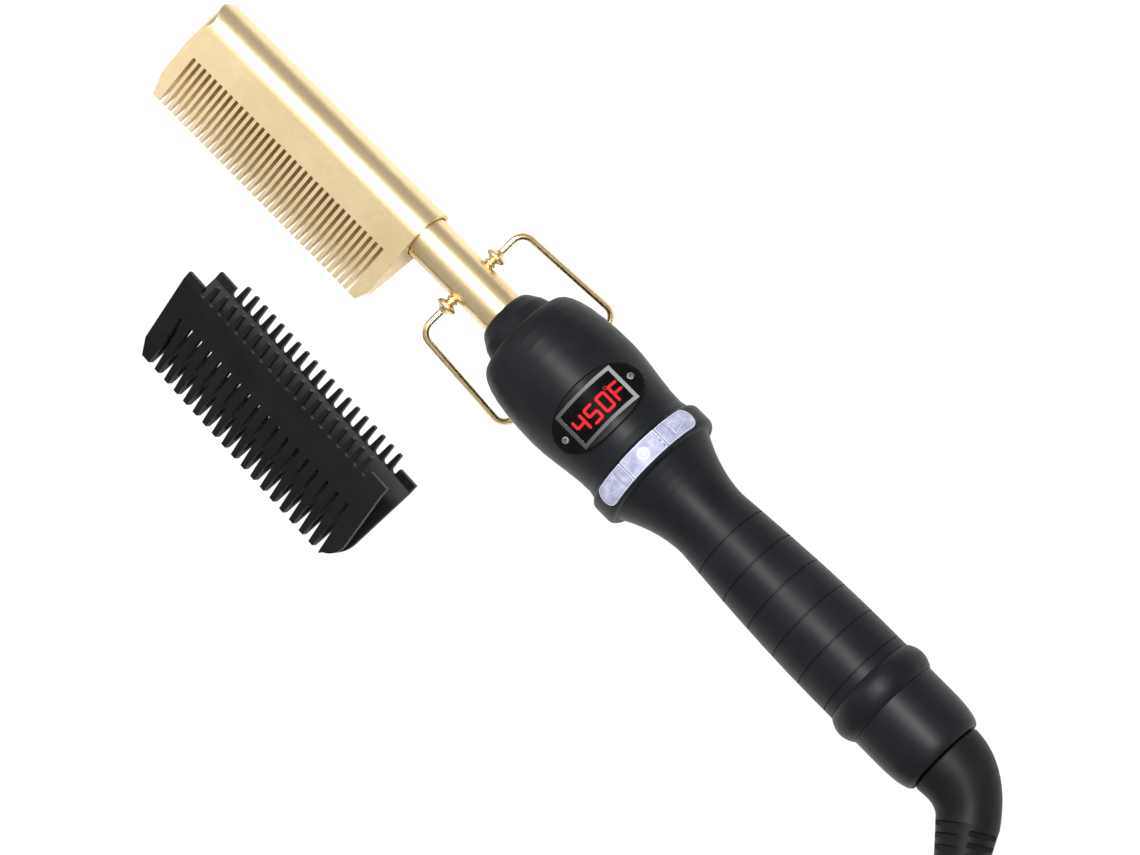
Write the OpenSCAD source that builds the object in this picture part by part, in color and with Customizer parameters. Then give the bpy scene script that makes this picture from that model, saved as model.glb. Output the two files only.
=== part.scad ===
// Electric hot comb: heated comb head on a barrel, barrel-shaped handle with a temperature display,
// three keys and a folding wire stand, swivelling cord boot, coiled mains lead and a slip-on comb guard.
// Tool frame: X along the barrel axis from the nose of the handle to the cord, Y from the teeth to the
// spine of the comb, Z out of the display. The tool lies on its stand and key ring on the plane z = 0.

/* [Comb head] */
// Length of the comb head
head_length = 97.5; // [80:0.5:130]
// Radius of the round back of the head
head_back_r = 9; // [7.5:0.1:11]
// Distance from the axis to the tooth tips
head_reach = 29.1; // [24:0.5:36]
// Thickness of the teeth at their tips
tip_thickness = 0.7; // [0.5:0.1:1.6]
// Number of slots between the teeth
slot_count = 36; // [12:1:38]
// Pitch of the slots
slot_pitch = 2.46; // [2:0.02:2.5]
// Width of a slot
slot_width = 1.2; // [0.8:0.1:1.4]
// Length of the slots from the tips
slot_depth = 17; // [8:0.5:18]
// Rounding of the toe's back corner
toe_round = 3.3; // [1:0.1:5]
// Length of the slanting cut at the toe's tip
toe_cut = 6.6; // [3:0.1:9]
// Length of the slanting cut at the heel's tip
heel_cut = 4.8; // [2:0.1:8]
// Depth of both slanting cuts along the head
cut_in = 2.1; // [1:0.1:3]

/* [Barrel] */
// Gap between the nose of the handle and the heel of the comb
barrel_exposed = 35.5; // [28:0.5:60]
// Outer radius of the barrel sleeve
sleeve_r = 7.4; // [7:0.1:7.8]
// Wall of the barrel sleeve
sleeve_wall = 0.9; // [0.7:0.1:1.2]
// Outer radius of the heater tube
heater_r = 4.6; // [4:0.1:5]
// Wall of the heater tube
heater_wall = 0.5; // [0.4:0.1:0.8]
// Length of the heater tube inside the comb head
heater_in_head = 90; // [40:1:94]
// Length of the heater tube inside the handle
heater_in_handle = 16; // [10:0.5:20]
// Depth that the sleeve enters the heel of the head
sleeve_in_head = 1.5; // [0.5:0.1:3]
// Visible gap round the sleeve at the heel
heel_gap = 0.4; // [0.2:0.1:0.6]

/* [Handle] */
// Length of the nose collar
nose_length = 8.6; // [5:0.1:12]
// Radius of the nose collar at its front
nose_front_r = 9.7; // [8.4:0.1:11]
// Radius of the nose collar at the seam
nose_rear_r = 13.2; // [12:0.1:15]
// Radius of the shoulder behind the seam
shoulder_r = 15; // [13.6:0.1:16]
// Radius of the widest place of the bulb
crown_r = 21.5; // [20:0.1:24]
// Place of the widest section from the nose
crown_x = 34; // [28:0.5:40]
// Radius of the waist in front of the key ring
waist_r = 19.3; // [18:0.05:20]
// Place of the waist from the nose
waist_x = 57.5; // [54:0.5:59]
// Radius of the key ring
key_ring_r = 21.6; // [20.6:0.1:23]
// Place of the middle of the key ring from the nose
key_ring_x = 65.2; // [64:0.1:68]
// Length of the key ring
key_ring_w = 9.4; // [8.8:0.1:12]
// Radius of the neck of the grip
neck_r = 12.75; // [11:0.05:15]
// Place of the neck from the nose
neck_x = 91; // [86:0.5:98]
// Radius of the grip's rear
grip_r = 15.6; // [14:0.1:18]
// Place of the grip's rear end from the nose
grip_end = 158; // [140:0.5:180]
// Radius of the rear ring
rear_ring_r = 17.4; // [16.4:0.1:20]
// Length of the rear ring
rear_ring_w = 10; // [7:0.1:13]
// Length of the end cap behind the rear ring
cap_length = 21.5; // [18:0.5:30]
// Radius of the end cap at the swivel seam
cap_end_r = 12.8; // [12.3:0.1:15]
// Wall of the handle's shells
shell_wall = 2.2; // [1.6:0.1:2.6]
// Number of grooves round the grip
groove_count = 6; // [1:1:6]
// Place of the first groove from the nose
groove_x = 99.3; // [96:0.1:103]
// Pitch of the grooves
groove_pitch = 11.1; // [8:0.1:11.4]
// Width and depth of a groove
groove_size = 0.5; // [0.3:0.1:0.8]

/* [Display] */
// Place of the display from the nose
display_x = 44.5; // [40:0.5:46]
// Length of the oval lens across the handle
lens_length = 33; // [30:0.5:35]
// Width of the oval lens along the handle
lens_width = 17.8; // [15:0.1:19]
// Radius of the lens's crosswise curve
lens_r = 23.5; // [22:0.5:26]
// Height that the lens stands above the bulb's top
lens_proud = 0.25; // [0.1:0.05:0.6]
// Thickness of the lens
lens_thick = 1.6; // [1.2:0.1:2.4]
// Length of the bezel across the handle
bezel_length = 22.6; // [20:0.2:24]
// Width of the bezel along the handle
bezel_width = 13.6; // [11:0.1:14]
// Width of the bezel's frame
bezel_frame = 1.2; // [0.8:0.1:2]
// Distance between the two lens screws
lens_screw_span = 27.4; // [26.4:0.1:28.4]
// Diameter of the lens screws' heads
lens_screw_d = 2.2; // [1.6:0.1:2.6]

/* [Keys] */
// Width of the row of keys along the handle
key_width = 7; // [5:0.1:7.2]
// Half angle of the whole row of keys
key_row_angle = 57; // [50:0.5:62]
// Half angle of the middle key
power_key_angle = 19; // [14:0.5:24]
// Gap between two keys
key_gap = 0.35; // [0.3:0.05:0.8]
// Gap between the keys and the edge of their slot
key_slot_gap = 0.3; // [0.25:0.05:0.5]
// Height that the keys stand above the key ring
key_proud = 0.3; // [0.1:0.05:1]
// Thickness of the keys
key_thick = 2; // [1.6:0.1:2.4]
// Travel of a key
key_travel = 0.6; // [0.3:0.05:0.7]

/* [Stand] */
// Diameter of the stand's wire
wire_d = 2.5; // [2:0.1:3]
// Diameter of the wire's ends in the barrel
pivot_d = 2.3; // [1.8:0.1:2.8]
// Place of the stand's pivots in front of the nose
pivot_front = 15.3; // [12:0.1:20]
// Half width of the stand at its pivots
stand_half_front = 22; // [20:0.1:26]
// Half width of the stand at its crossbar
stand_half_rear = 24.7; // [23:0.1:30]
// Distance of the folded crossbar behind the nose
crossbar_x = 19.5; // [17:0.5:24]
// Gap between the folded crossbar and the bulb
crossbar_gap = 0.4; // [0.3:0.1:1]
// Radius of the bends in the stand's wire
wire_bend = 4.5; // [3.5:0.1:6]
// Diameter of the collars on the wire's ends
collar_d = 6; // [5:0.1:7]
// Thickness of the collars
collar_thick = 1.4; // [1:0.1:2]
// Distance of the collars from the barrel's axis
collar_y = 9.6; // [9:0.1:11]
// Swing of the stand from the folded place
stand_swing = 120; // [90:1:130]

/* [Swivel and boot] */
// Radius of the swivel's neck in the end cap
swivel_r = 6; // [5:0.1:7]
// Radial running clearance of the swivel
swivel_clear = 0.06; // [0.03:0.01:0.1]
// Gap between the end cap and the boot
swivel_gap = 0.4; // [0.3:0.1:0.8]
// Radius of the boot at the seam
boot_r = 12.4; // [11:0.1:13]
// Radius of the boot's bend along its middle
boot_bend_r = 22; // [20:0.5:34]
// Angle of the boot's bend
boot_angle = 55; // [35:1:80]
// Radius of the boot where its bend ends
boot_mid_r = 9.6; // [8.5:0.1:11]
// Length of the ribbed strain relief
relief_length = 40; // [25:1:60]
// Radius of the strain relief at its tip
relief_tip_r = 4.8; // [4.2:0.1:6]
// Number of ribs' gaps on each side of the strain relief
relief_slots = 10; // [3:1:11]

/* [Cord] */
// Diameter of the cord
cord_d = 6.2; // [5:0.1:7.4]
// Turns in each of the coil's two layers
coil_turns = 3.25; // [2:0.25:5]
// Radius of the coil's outer turn
coil_outer_r = 48.4; // [44:0.1:60]
// Spare room between neighbouring turns
coil_spare = 0.6; // [0.5:0.1:1]

/* [Guard] */
// Length of the comb guard
guard_length = 95; // [86:0.5:120]
// Wall of the comb guard
guard_wall = 1.8; // [1.4:0.1:2.4]
// Gap between the guard and the comb that it slips over
guard_clear = 0.4; // [0.3:0.1:0.6]
// Distance of the comb's tips from the closed edge of the guard
guard_tip_gap = 4; // [3:0.1:6]
// Number of slots between the coarse teeth
coarse_slots = 18; // [6:1:18]
// Pitch of the coarse slots
coarse_pitch = 4.74; // [4:0.02:4.8]
// Length of the coarse slots
coarse_depth = 20.7; // [12:0.1:22]
// Width of the coarse slots at their roots
coarse_root = 1.2; // [0.8:0.1:1.8]
// Width of the coarse slots at the tips
coarse_tip = 2.9; // [2:0.1:3.4]
// Number of fine fingers
finger_count = 19; // [6:1:19]
// Pitch of the fine fingers
finger_pitch = 4.1; // [3.6:0.02:4.2]
// Length of the fine fingers past the bend
finger_length = 6.2; // [5:0.1:9]
// Width of a finger at its root
finger_root = 1.9; // [1.4:0.1:2.2]
// Width of a finger at its tip
finger_tip = 1; // [0.7:0.1:1.4]
// Height of the end blocks past the bend
guard_block = 3; // [1:0.1:4.5]
// Rounding of the guard's heel corner
guard_round = 9; // [3:0.5:12]
// Slanting cut of the guard's toe corner
guard_cut = 4; // [2:0.1:6]

/* [Layout] */
// Place of the guard's toe along the tool, from the nose
guard_x = -84; // [-110:0.5:-60]
// Place of the guard's closed edge across the tool
guard_y = -89; // [-120:0.5:-86]
// Turn of the guard on the table
guard_turn = -1.9; // [-10:0.1:10]

/* [Hidden] */
$fn = 96;
eps = 0.01;
big = 400;

// -- derived sizes of the head and barrel
heel_x = -barrel_exposed;
toe_x = heel_x - head_length;
wedge_angle = asin((head_back_r - tip_thickness / 2) / head_reach);
sleeve_bore_r = sleeve_r - sleeve_wall;
heater_fit = 0.05;
bushing_w = 9;
sleeve_in_handle = heater_in_handle - 3;
pivot_x = -pivot_front;
pivot_fit = 0.05;
pivot_end_y = heater_r + 0.5;

// -- derived stations of the handle
seam_gap = 0.25;
ring_x = grip_end;
cap_x = ring_x + rear_ring_w;
tail_x = cap_x + cap_length;
shoulder_power = 2.2;
neck_power = 1.9;
key_ring_corner = 2.2;
key_front = key_ring_x - key_ring_w / 2;
key_rear = key_ring_x + key_ring_w / 2;
neck_start_r = key_ring_r - 2.8;
tongue = 3;
tongue_wall = 1.2;

function ease(t) = (1 - cos(180 * t)) / 2;
function bulb_r(x) =
    let (t = min(1, max(0, (x - nose_length) / (crown_x - nose_length))))
    x < crown_x
        ? shoulder_r + (crown_r - shoulder_r) * pow(1 - pow(1 - t, shoulder_power), 1 / shoulder_power)
        : crown_r + (waist_r - crown_r) * ease(min(1, (x - crown_x) / (waist_x - crown_x)));
function neck_curve(x) =
    neck_r + (neck_start_r - neck_r) * pow(max(0, min(1, (neck_x - x) / (neck_x - key_rear))), neck_power);
grip_rear_r = min(grip_r, rear_ring_r - 1);
function grip_curve(x) = neck_r + (grip_rear_r - neck_r) * sin(90 * min(1, (x - neck_x) / (grip_end - neck_x - 8)));
function ring_edge(x, mid, width, r, corner) =
    let (d = abs(x - mid) - (width / 2 - corner))
    d <= 0 ? r : d >= corner ? 0 : r - corner + sqrt(corner * corner - d * d);
function body_r(x) =
    x < waist_x + 4 ? bulb_r(x)
    : x < neck_x ? neck_curve(x)
    : grip_curve(x);
function shell_r(x) = max(body_r(x), ring_edge(x, key_ring_x, key_ring_w, key_ring_r, key_ring_corner));

shell_x = concat(
    [for (t = [0.01, 0.04, 0.1, 0.2, 0.35, 0.55, 0.75, 1]) nose_length + seam_gap + (crown_x - nose_length) * t],
    [for (i = [1:5]) crown_x + (waist_x - crown_x) * i / 5],
    [for (i = [1:6]) key_front + key_ring_corner * (1 - cos(15 * i))],
    [for (i = [0:5]) key_rear - key_ring_corner * (1 - sin(15 * i))],
    [for (i = [0:7]) key_rear + 0.02 + (neck_x - key_rear) * i / 7],
    [for (i = [1:7]) neck_x + (grip_end - neck_x) * i / 7]
);

// A solid of revolution about X from the points [x, r]
module spun(points) rotate([0, 90, 0]) rotate([0, 0, 180]) rotate_extrude() polygon([for (p = points) [p[1], p[0]]]);
module rod_x(x0, x1, r) translate([x0, 0, 0]) rotate([0, 90, 0]) cylinder(h = x1 - x0, r = r);
module rod_y(y0, y1, r) translate([0, y0, 0]) rotate([-90, 0, 0]) cylinder(h = y1 - y0, r = r);
module tube_x(x0, x1, r, bore) difference() {
    rod_x(x0, x1, r);
    rod_x(x0 - 1, x1 + 1, bore);
}
module block(low, high) translate(low) cube(high - low);

// -- places of the inner parts
wire_r = wire_d / 2;
pin_r = pivot_d / 2;
front_wall_end = nose_length + seam_gap + shell_wall;
collar_neck_r = nose_front_r;
collar_flange_r = collar_neck_r + 2.4;
collar_flange_w = 2;
fit = 0.05;
tongue_r = grip_rear_r - shell_wall - 0.5;
tongue_end = cap_x + tongue;
wire_way_r = tongue_r - tongue_wall - 1;
part_gap = 0.1;
screw_x = [22, neck_x - 3, grip_end - 8];
screw_r = 1.5;
screw_head_r = 2.7;
screw_boss_r = 4.2;
screw_head_z = -7;
screw_head_h = 1.8;
board_low = 1;
board_high = board_low + 1.6;
board_front = 30;
board_rear = 82;
board_half = 8;
rib_w = 2;

lens_top = shell_r(display_x) + lens_proud;
lens_z = lens_top - lens_r;
lens_under_r = lens_r - lens_thick;
module_clear = 0.3;
module_half_y = bezel_length / 2 - 1;
module_half_x = bezel_width / 2 - 1;
module_top = lens_z + sqrt(pow(lens_under_r, 2) - pow(module_half_y, 2)) - module_clear;
power_top = 9;
lens_screw_y = lens_screw_span / 2;
lens_screw_z = lens_z + sqrt(pow(lens_r, 2) - pow(lens_screw_y, 2)) - 0.8;
lens_screw_h = 1;
lens_screw_shank = 0.6;
lens_screw_l = 4.5;

key_out_r = key_ring_r + key_proud;
key_in_r = key_out_r - key_thick;
key_end_r = key_width / 2;
half_gap_angle = atan(key_gap / 2 / key_ring_r);
side_key_angle = (power_key_angle + key_row_angle) / 2;
key_side_gap = 0.15;
switch_gap = key_travel + 0.08;
switch_half = 2.2;
plunger_r = 1.2;
plunger_h = 0.9;
bracket_out_r = neck_curve(key_ring_x + key_width / 2 + 0.5) - shell_wall - 0.2;
bracket_in_r = bracket_out_r - 1.4;
leg_y = [5.5, 7.5];

web_front = tail_x - 8;
neck_flange_r = swivel_r + 2;
neck_flange_w = 2.2;
neck_stub_r = 4;
neck_front = max(tail_x - 20, tongue_end + 0.2);
neck_in_boot = 5;
slip_ring_r = 5.2;
slip_ring_w = 2.4;
slip_ring_x = [neck_front + 1, neck_front + 5.2];
brush_gap = 0.4;
cap_bore_r = tongue_r + fit;
boot_x = tail_x + swivel_gap;

// -- the folded stand
crossbar_z = -(shell_r(crossbar_x) + crossbar_gap + wire_r);
stand_angle = atan2(-crossbar_z, crossbar_x - pivot_x);
stand_length = norm([crossbar_x - pivot_x, crossbar_z]);

// -- how the tool lies: on the crossbar and on the key ring's rear edge
rest_x = key_rear - key_ring_corner;
lever_x = rest_x - crossbar_x;
lever_z = crossbar_z + key_ring_r;
tilt = asin(wire_r / norm([lever_x, lever_z])) - atan2(lever_z, lever_x);
lift = wire_r + crossbar_x * sin(tilt) - crossbar_z * cos(tilt);

// -- the boot's middle line, as [x, y] and the direction's turn from +X
boot_straight = 0.5;
boot_rings = 9;
function boot_point(s) =
    let (arc = boot_bend_r * boot_angle * PI / 180, a = min(max(s - boot_straight, 0), arc) / boot_bend_r * 180 / PI)
    let (over = max(0, s - boot_straight - arc))
    [boot_x + min(s, boot_straight) + boot_bend_r * sin(a) + over * cos(a),
     -boot_bend_r * (1 - cos(a)) - over * sin(a)];
function boot_turn(s) = min(max(s - boot_straight, 0) / boot_bend_r * 180 / PI, boot_angle);
boot_bend_end = boot_straight + boot_bend_r * boot_angle * PI / 180;
boot_length = boot_bend_end + relief_length;
function boot_radius(s) =
    s < boot_bend_end ? boot_r + (boot_mid_r - boot_r) * ease(s / boot_bend_end)
    : boot_mid_r + (relief_tip_r - boot_mid_r) * pow((s - boot_bend_end) / relief_length, 0.9);

// -- the whole object without its cord, for the origin
guard_turned = [guard_length * cos(guard_turn), guard_length * sin(guard_turn)];
boot_tip = boot_point(boot_length);
low_x = toe_x * cos(tilt);
high_x = boot_tip[0] * cos(tilt) + relief_tip_r * sin(boot_angle);
low_y = guard_y + min(0, guard_turned[1]);
high_y = stand_half_rear + wire_r;
shift = [-(low_x + high_x) / 2, -(low_y + high_y) / 2];
function placed(p) = [
    p[0] * cos(tilt) + p[2] * sin(tilt) + shift[0],
    p[1] + shift[1],
    -p[0] * sin(tilt) + p[2] * cos(tilt) + lift,
];
module place() translate([shift[0], shift[1], lift]) rotate([0, tilt, 0]) children();

// ---------------------------------------------------------------- comb head and barrel
module teardrop() {
    circle(r = head_back_r);
    polygon([
        [-head_back_r * sin(wedge_angle), head_back_r * cos(wedge_angle)],
        [-head_reach, tip_thickness / 2],
        [-head_reach, -tip_thickness / 2],
        [-head_back_r * sin(wedge_angle), -head_back_r * cos(wedge_angle)],
    ]);
}
module along_x(x0, x1) translate([x0, 0, 0]) rotate([90, 0, 90]) linear_extrude(x1 - x0) children();
module head_outline() difference() {
    union() {
        translate([toe_x, -head_reach - 1]) square([head_length, head_reach + 1 + head_back_r - toe_round]);
        translate([toe_x + toe_round, 0]) square([head_length - toe_round, head_back_r]);
        translate([toe_x + toe_round, head_back_r - toe_round]) circle(r = toe_round);
    }
    polygon([
        [toe_x - 1, -head_reach + toe_cut], [toe_x, -head_reach + toe_cut],
        [toe_x + cut_in, -head_reach], [toe_x + cut_in, -head_reach - 2], [toe_x - 1, -head_reach - 2],
    ]);
    polygon([
        [heel_x + 1, -head_reach + heel_cut], [heel_x, -head_reach + heel_cut],
        [heel_x - cut_in, -head_reach], [heel_x - cut_in, -head_reach - 2], [heel_x + 1, -head_reach - 2],
    ]);
}
module head_plan() {
    translate([toe_x + toe_round, -head_back_r]) square([head_length - toe_round, 2 * head_back_r]);
    translate([toe_x, -head_back_r + toe_round]) square([toe_round + 1, 2 * (head_back_r - toe_round)]);
    for (side = [-1, 1])
        translate([toe_x + toe_round, side * (head_back_r - toe_round)]) circle(r = toe_round);
}
module comb_head() color([0.93, 0.78, 0.5]) place() difference() {
    intersection() {
        along_x(toe_x, heel_x) teardrop();
        translate([0, 0, -head_back_r]) linear_extrude(2 * head_back_r) head_outline();
        translate([0, head_back_r, 0]) rotate([90, 0, 0]) linear_extrude(head_reach + head_back_r) head_plan();
    }
    rod_x(heel_x - heater_in_head - 1, heel_x + 1, heater_r + heater_fit);
    rod_x(heel_x - sleeve_in_head, heel_x + 1, sleeve_r + heel_gap);
    for (i = [0:slot_count - 1]) {
        x = (toe_x + heel_x) / 2 + (i - (slot_count - 1) / 2) * slot_pitch;
        block([x - slot_width / 2, -head_reach - 1, -head_back_r], [x + slot_width / 2, -head_reach + slot_depth, head_back_r]);
    }
}
module heater_tube() color("silver") place()
    tube_x(heel_x - heater_in_head, heater_in_handle, heater_r, heater_r - heater_wall);
module ptc_heater() color("white") place()
    block([heel_x - heater_in_head + 2, -3.2, -1.5], [heel_x - 2, 3.2, 1.5]);
module thermistor() color("darkorange") place()
    translate([0, 0, 2.5]) rod_x(heel_x - heater_in_head * 0.78, heel_x - heater_in_head * 0.71, 1);
module pivot_holes() translate([pivot_x, 0, 0]) rod_y(-stand_half_front, stand_half_front, pin_r + pivot_fit);
module barrel_sleeve() color([0.9, 0.75, 0.48]) place() difference() {
    tube_x(heel_x - sleeve_in_head + 0.2, sleeve_in_handle, sleeve_r, sleeve_bore_r);
    pivot_holes();
}
module pivot_bushing() color("gray") place() difference() {
    tube_x(pivot_x - bushing_w / 2, pivot_x + bushing_w / 2, sleeve_bore_r - fit / 2, heater_r + heater_fit);
    pivot_holes();
}

// ---------------------------------------------------------------- handle
module nose_collar() color([0.12, 0.12, 0.13]) place() difference() {
    union() {
        spun([[0, 0], [0, nose_front_r - 0.8], [0.8, nose_front_r], [nose_length * 0.5, (nose_front_r + nose_rear_r) / 2 + 0.4],
              [nose_length, nose_rear_r], [nose_length, 0]]);
        rod_x(nose_length - 1, front_wall_end + collar_flange_w, collar_neck_r);
        rod_x(front_wall_end + fit, front_wall_end + collar_flange_w, collar_flange_r);
        rod_x(front_wall_end, sleeve_in_handle + 3, sleeve_r + 1.6);
    }
    rod_x(-1, sleeve_in_handle, sleeve_r + fit);
    rod_x(-1, sleeve_in_handle + 4, heater_r + heater_fit);
}
module shell_body() difference() {
    union() {
        spun(concat([[shell_x[0], 0]], [for (x = shell_x) [x, shell_r(x)]], [[grip_end, 0]]));
        rod_x(grip_end - 1, tongue_end, tongue_r);
    }
    for (i = [0:groove_count - 1])
        translate([groove_x + i * groove_pitch, 0, 0])
            tube_x(-groove_size / 2, groove_size / 2, crown_r, body_r(groove_x + i * groove_pitch) - groove_size);
    shell_hollow();
    rod_x(0, front_wall_end + 1, collar_neck_r + fit);
    rod_x(grip_end - shell_wall - 1, tongue_end + 1, wire_way_r);
}
module shell_hollow() spun(concat(
    [[front_wall_end, 0]],
    [for (x = hollow_x) [x, body_r(x) - shell_wall]],
    [[grip_end - shell_wall, 0]]
));
hollow_x = [
    front_wall_end, front_wall_end + 2, front_wall_end + 6, crown_x - 8, crown_x, crown_x + 8, waist_x - 6, waist_x,
    waist_x + 3.9, key_ring_x, key_rear + 2, key_rear + 8, neck_x - 6, neck_x, neck_x + 14, grip_end - 30, grip_end - shell_wall,
];
// An oval a little fuller than an ellipse, its length along Y
oval_power = 2.35;
oval_points = 72;
function fuller(c) = sign(c) * pow(abs(c), 2 / oval_power);
module oval(length, width) polygon([
    for (i = [0:oval_points - 1]) let (a = 360 * (i + 0.5) / oval_points)
        [width / 2 * fuller(cos(a)), length / 2 * fuller(sin(a))]
]);
module lens_cut() difference() {
    translate([display_x, 0, 8]) linear_extrude(30) oval(lens_length + 2 * part_gap, lens_width + 2 * part_gap);
    translate([0, 0, lens_z]) rod_x(display_x - lens_width, display_x + lens_width, lens_under_r - 0.03);
}
module wedge_x(a0, a1) along_x(key_front - 2, key_rear + 2) polygon([
    [0, 0], [big * sin(a0), big * cos(a0)], [big * sin((a0 + a1) / 2) * 1.5, big * cos((a0 + a1) / 2) * 1.5],
    [big * sin(a1), big * cos(a1)],
]);
module radial(angle) rotate([-angle, 0, 0]) children();
// The plan of one end of the row of keys, seen along that key's travel: a strip with a round end
module key_end_plan(side, grow_side, grow_end) {
    reach = key_out_r * sin(key_row_angle - side_key_angle) + grow_end - key_end_r - grow_side;
    translate([-key_end_r - grow_side, side > 0 ? -reach : -reach]) square([2 * (key_end_r + grow_side), 2 * reach]);
    translate([0, side * reach]) circle(r = key_end_r + grow_side);
}
module key_end_prism(side, grow_side, grow_end, bottom) radial(side * side_key_angle)
    translate([key_ring_x, 0, bottom]) linear_extrude(25) key_end_plan(side, grow_side, grow_end);
slot_half = key_end_r + key_side_gap + 0.03;
module key_slot() {
    intersection() {
        tube_x(key_ring_x - slot_half, key_ring_x + slot_half, key_ring_r + 5, bracket_in_r);
        wedge_x(-side_key_angle * 0.9, side_key_angle * 0.9);
    }
    for (side = [-1, 1]) key_end_prism(side, key_side_gap, key_slot_gap, bracket_in_r * 0.8);
}
module screw_bosses(z0, z1) for (x = screw_x) translate([x, 0, z0]) cylinder(h = z1 - z0, r = screw_boss_r);
module upper_shell() color([0.13, 0.13, 0.14]) place() difference() {
    union() {
        intersection() {
            shell_body();
            block([0, -big, part_gap / 2], [big, big, big]);
        }
        intersection() {
            screw_bosses(part_gap / 2, 30);
            shell_hollow();
        }
    }
    lens_cut();
    block([display_x - module_half_x - 0.3, -module_half_y - 0.3, 10], [display_x + module_half_x + 0.3, module_half_y + 0.3, 30]);
    for (side = [-1, 1]) translate([display_x, side * lens_screw_y, 8]) cylinder(h = 12, r = lens_screw_shank + fit);
    key_slot();
    for (x = screw_x) translate([x, 0, -1]) cylinder(h = 8, r = screw_r);
}
module lower_shell() color([0.13, 0.13, 0.14]) place() difference() {
    union() {
        intersection() {
            shell_body();
            block([0, -big, -big], [big, big, -part_gap / 2]);
        }
        intersection() {
            union() {
                screw_bosses(-30, -part_gap / 2);
                for (x = [board_front + 3, board_rear - 5])
                    block([x, -board_half, -30], [x + rib_w, board_half, board_low - fit]);
            }
            shell_hollow();
        }
    }
    for (x = screw_x) {
        translate([x, 0, -30]) cylinder(h = 31, r = screw_r + 0.1);
        translate([x, 0, -30]) cylinder(h = 30 + screw_head_z, r = screw_head_r + 0.2);
    }
}
module case_screws() color("dimgray") place() for (x = screw_x) difference() {
    union() {
        translate([x, 0, screw_head_z - screw_head_h]) cylinder(h = screw_head_h, r = screw_head_r);
        translate([x, 0, screw_head_z - 1]) cylinder(h = 6 - screw_head_z, r = screw_r - 0.02);
    }
    for (a = [0, 90]) translate([x, 0, screw_head_z - screw_head_h]) rotate([0, 0, a]) cube([3.2, 0.6, 1.6], center = true);
}

// ---------------------------------------------------------------- display
module lens_band(top, under) translate([0, 0, lens_z]) tube_x(display_x - lens_width, display_x + lens_width, top, under);
module bezel_block(grow) block(
    [display_x - bezel_width / 2 - grow, -bezel_length / 2 - grow, 8],
    [display_x + bezel_width / 2 + grow, bezel_length / 2 + grow, 40]
);
module display_lens() color([0.03, 0.03, 0.03]) place() difference() {
    intersection() {
        lens_band(lens_r, lens_under_r);
        translate([display_x, 0, 8]) linear_extrude(30) oval(lens_length, lens_width);
    }
    bezel_block(fit);
    for (side = [-1, 1]) {
        translate([display_x, side * lens_screw_y, 8]) cylinder(h = 12, r = lens_screw_shank + fit);
        translate([display_x, side * lens_screw_y, lens_screw_z]) cylinder(h = 12, r = lens_screw_d / 2 + fit);
    }
}
module display_bezel() color([0.5, 0.5, 0.5]) place() difference() {
    intersection() {
        lens_band(lens_r + 0.15, lens_under_r);
        bezel_block(0);
    }
    bezel_block(-bezel_frame);
}
module display_screen() color([0.02, 0.02, 0.02]) place() intersection() {
    lens_band(lens_r - 0.1, lens_under_r);
    bezel_block(-bezel_frame - fit);
}
module lens_screws() color("gray") place() for (side = [-1, 1]) translate([display_x, side * lens_screw_y, lens_screw_z])
    difference() {
        union() {
            cylinder(h = lens_screw_h, r = lens_screw_d / 2);
            translate([0, 0, -lens_screw_l]) cylinder(h = lens_screw_l + 0.1, r = lens_screw_shank);
        }
        translate([0, 0, lens_screw_h - 0.4]) cylinder(h = 1, r = lens_screw_d / 4);
    }
module display_module() color([0.2, 0.2, 0.2]) place() block(
    [display_x - module_half_x, -module_half_y, power_top],
    [display_x + module_half_x, module_half_y, module_top]
);
module main_board() color("darkgreen") place()
    block([board_front, -board_half, board_low], [board_rear, board_half, board_high]);
module power_module() color("goldenrod") place()
    block([display_x - 7, -6, board_high], [display_x + 7, 6, power_top]);

// ---------------------------------------------------------------- keys
module key_sector(a0, a1) intersection() {
    tube_x(key_ring_x - key_end_r, key_ring_x + key_end_r, key_out_r, key_in_r);
    wedge_x(a0, a1);
}
module side_key() intersection() {
    key_sector(-89, -power_key_angle - half_gap_angle);
    key_end_prism(-1, 0, 0, 5);
}
module power_key() color([0.82, 0.82, 0.9]) place()
    key_sector(-power_key_angle + half_gap_angle, power_key_angle - half_gap_angle);
module up_key() color([0.82, 0.82, 0.9]) place() mirror([0, 1, 0]) side_key();
module down_key() color([0.82, 0.82, 0.9]) place() side_key();
module tact_switches() color("black") place() for (angle = [-side_key_angle, 0, side_key_angle]) radial(angle)
    translate([key_ring_x, 0, 0]) {
        block([-switch_half, -switch_half, bracket_out_r - 0.2], [switch_half, switch_half, key_in_r - switch_gap - plunger_h]);
        translate([0, 0, bracket_out_r]) cylinder(h = key_in_r - switch_gap - bracket_out_r, r = plunger_r);
    }
module key_bracket() color("green") place() difference() {
    union() {
        intersection() {
            tube_x(key_ring_x - 3, key_ring_x + 3, bracket_out_r, bracket_in_r);
            wedge_x(-key_row_angle, key_row_angle);
        }
        for (side = [-1, 1]) intersection() {
            rod_x(key_ring_x - 3, key_ring_x + 3, (bracket_in_r + bracket_out_r) / 2);
            block(
                [key_ring_x - 3, side > 0 ? leg_y[0] : -leg_y[1], board_high],
                [key_ring_x + 3, side > 0 ? leg_y[1] : -leg_y[0], bracket_out_r]
            );
        }
    }
    for (angle = [-side_key_angle, 0, side_key_angle]) radial(angle) translate([key_ring_x, 0, 0])
        block([-switch_half - fit, -switch_half - fit, bracket_out_r - 0.2 - fit], [switch_half + fit, switch_half + fit, 20]);
}

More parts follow.
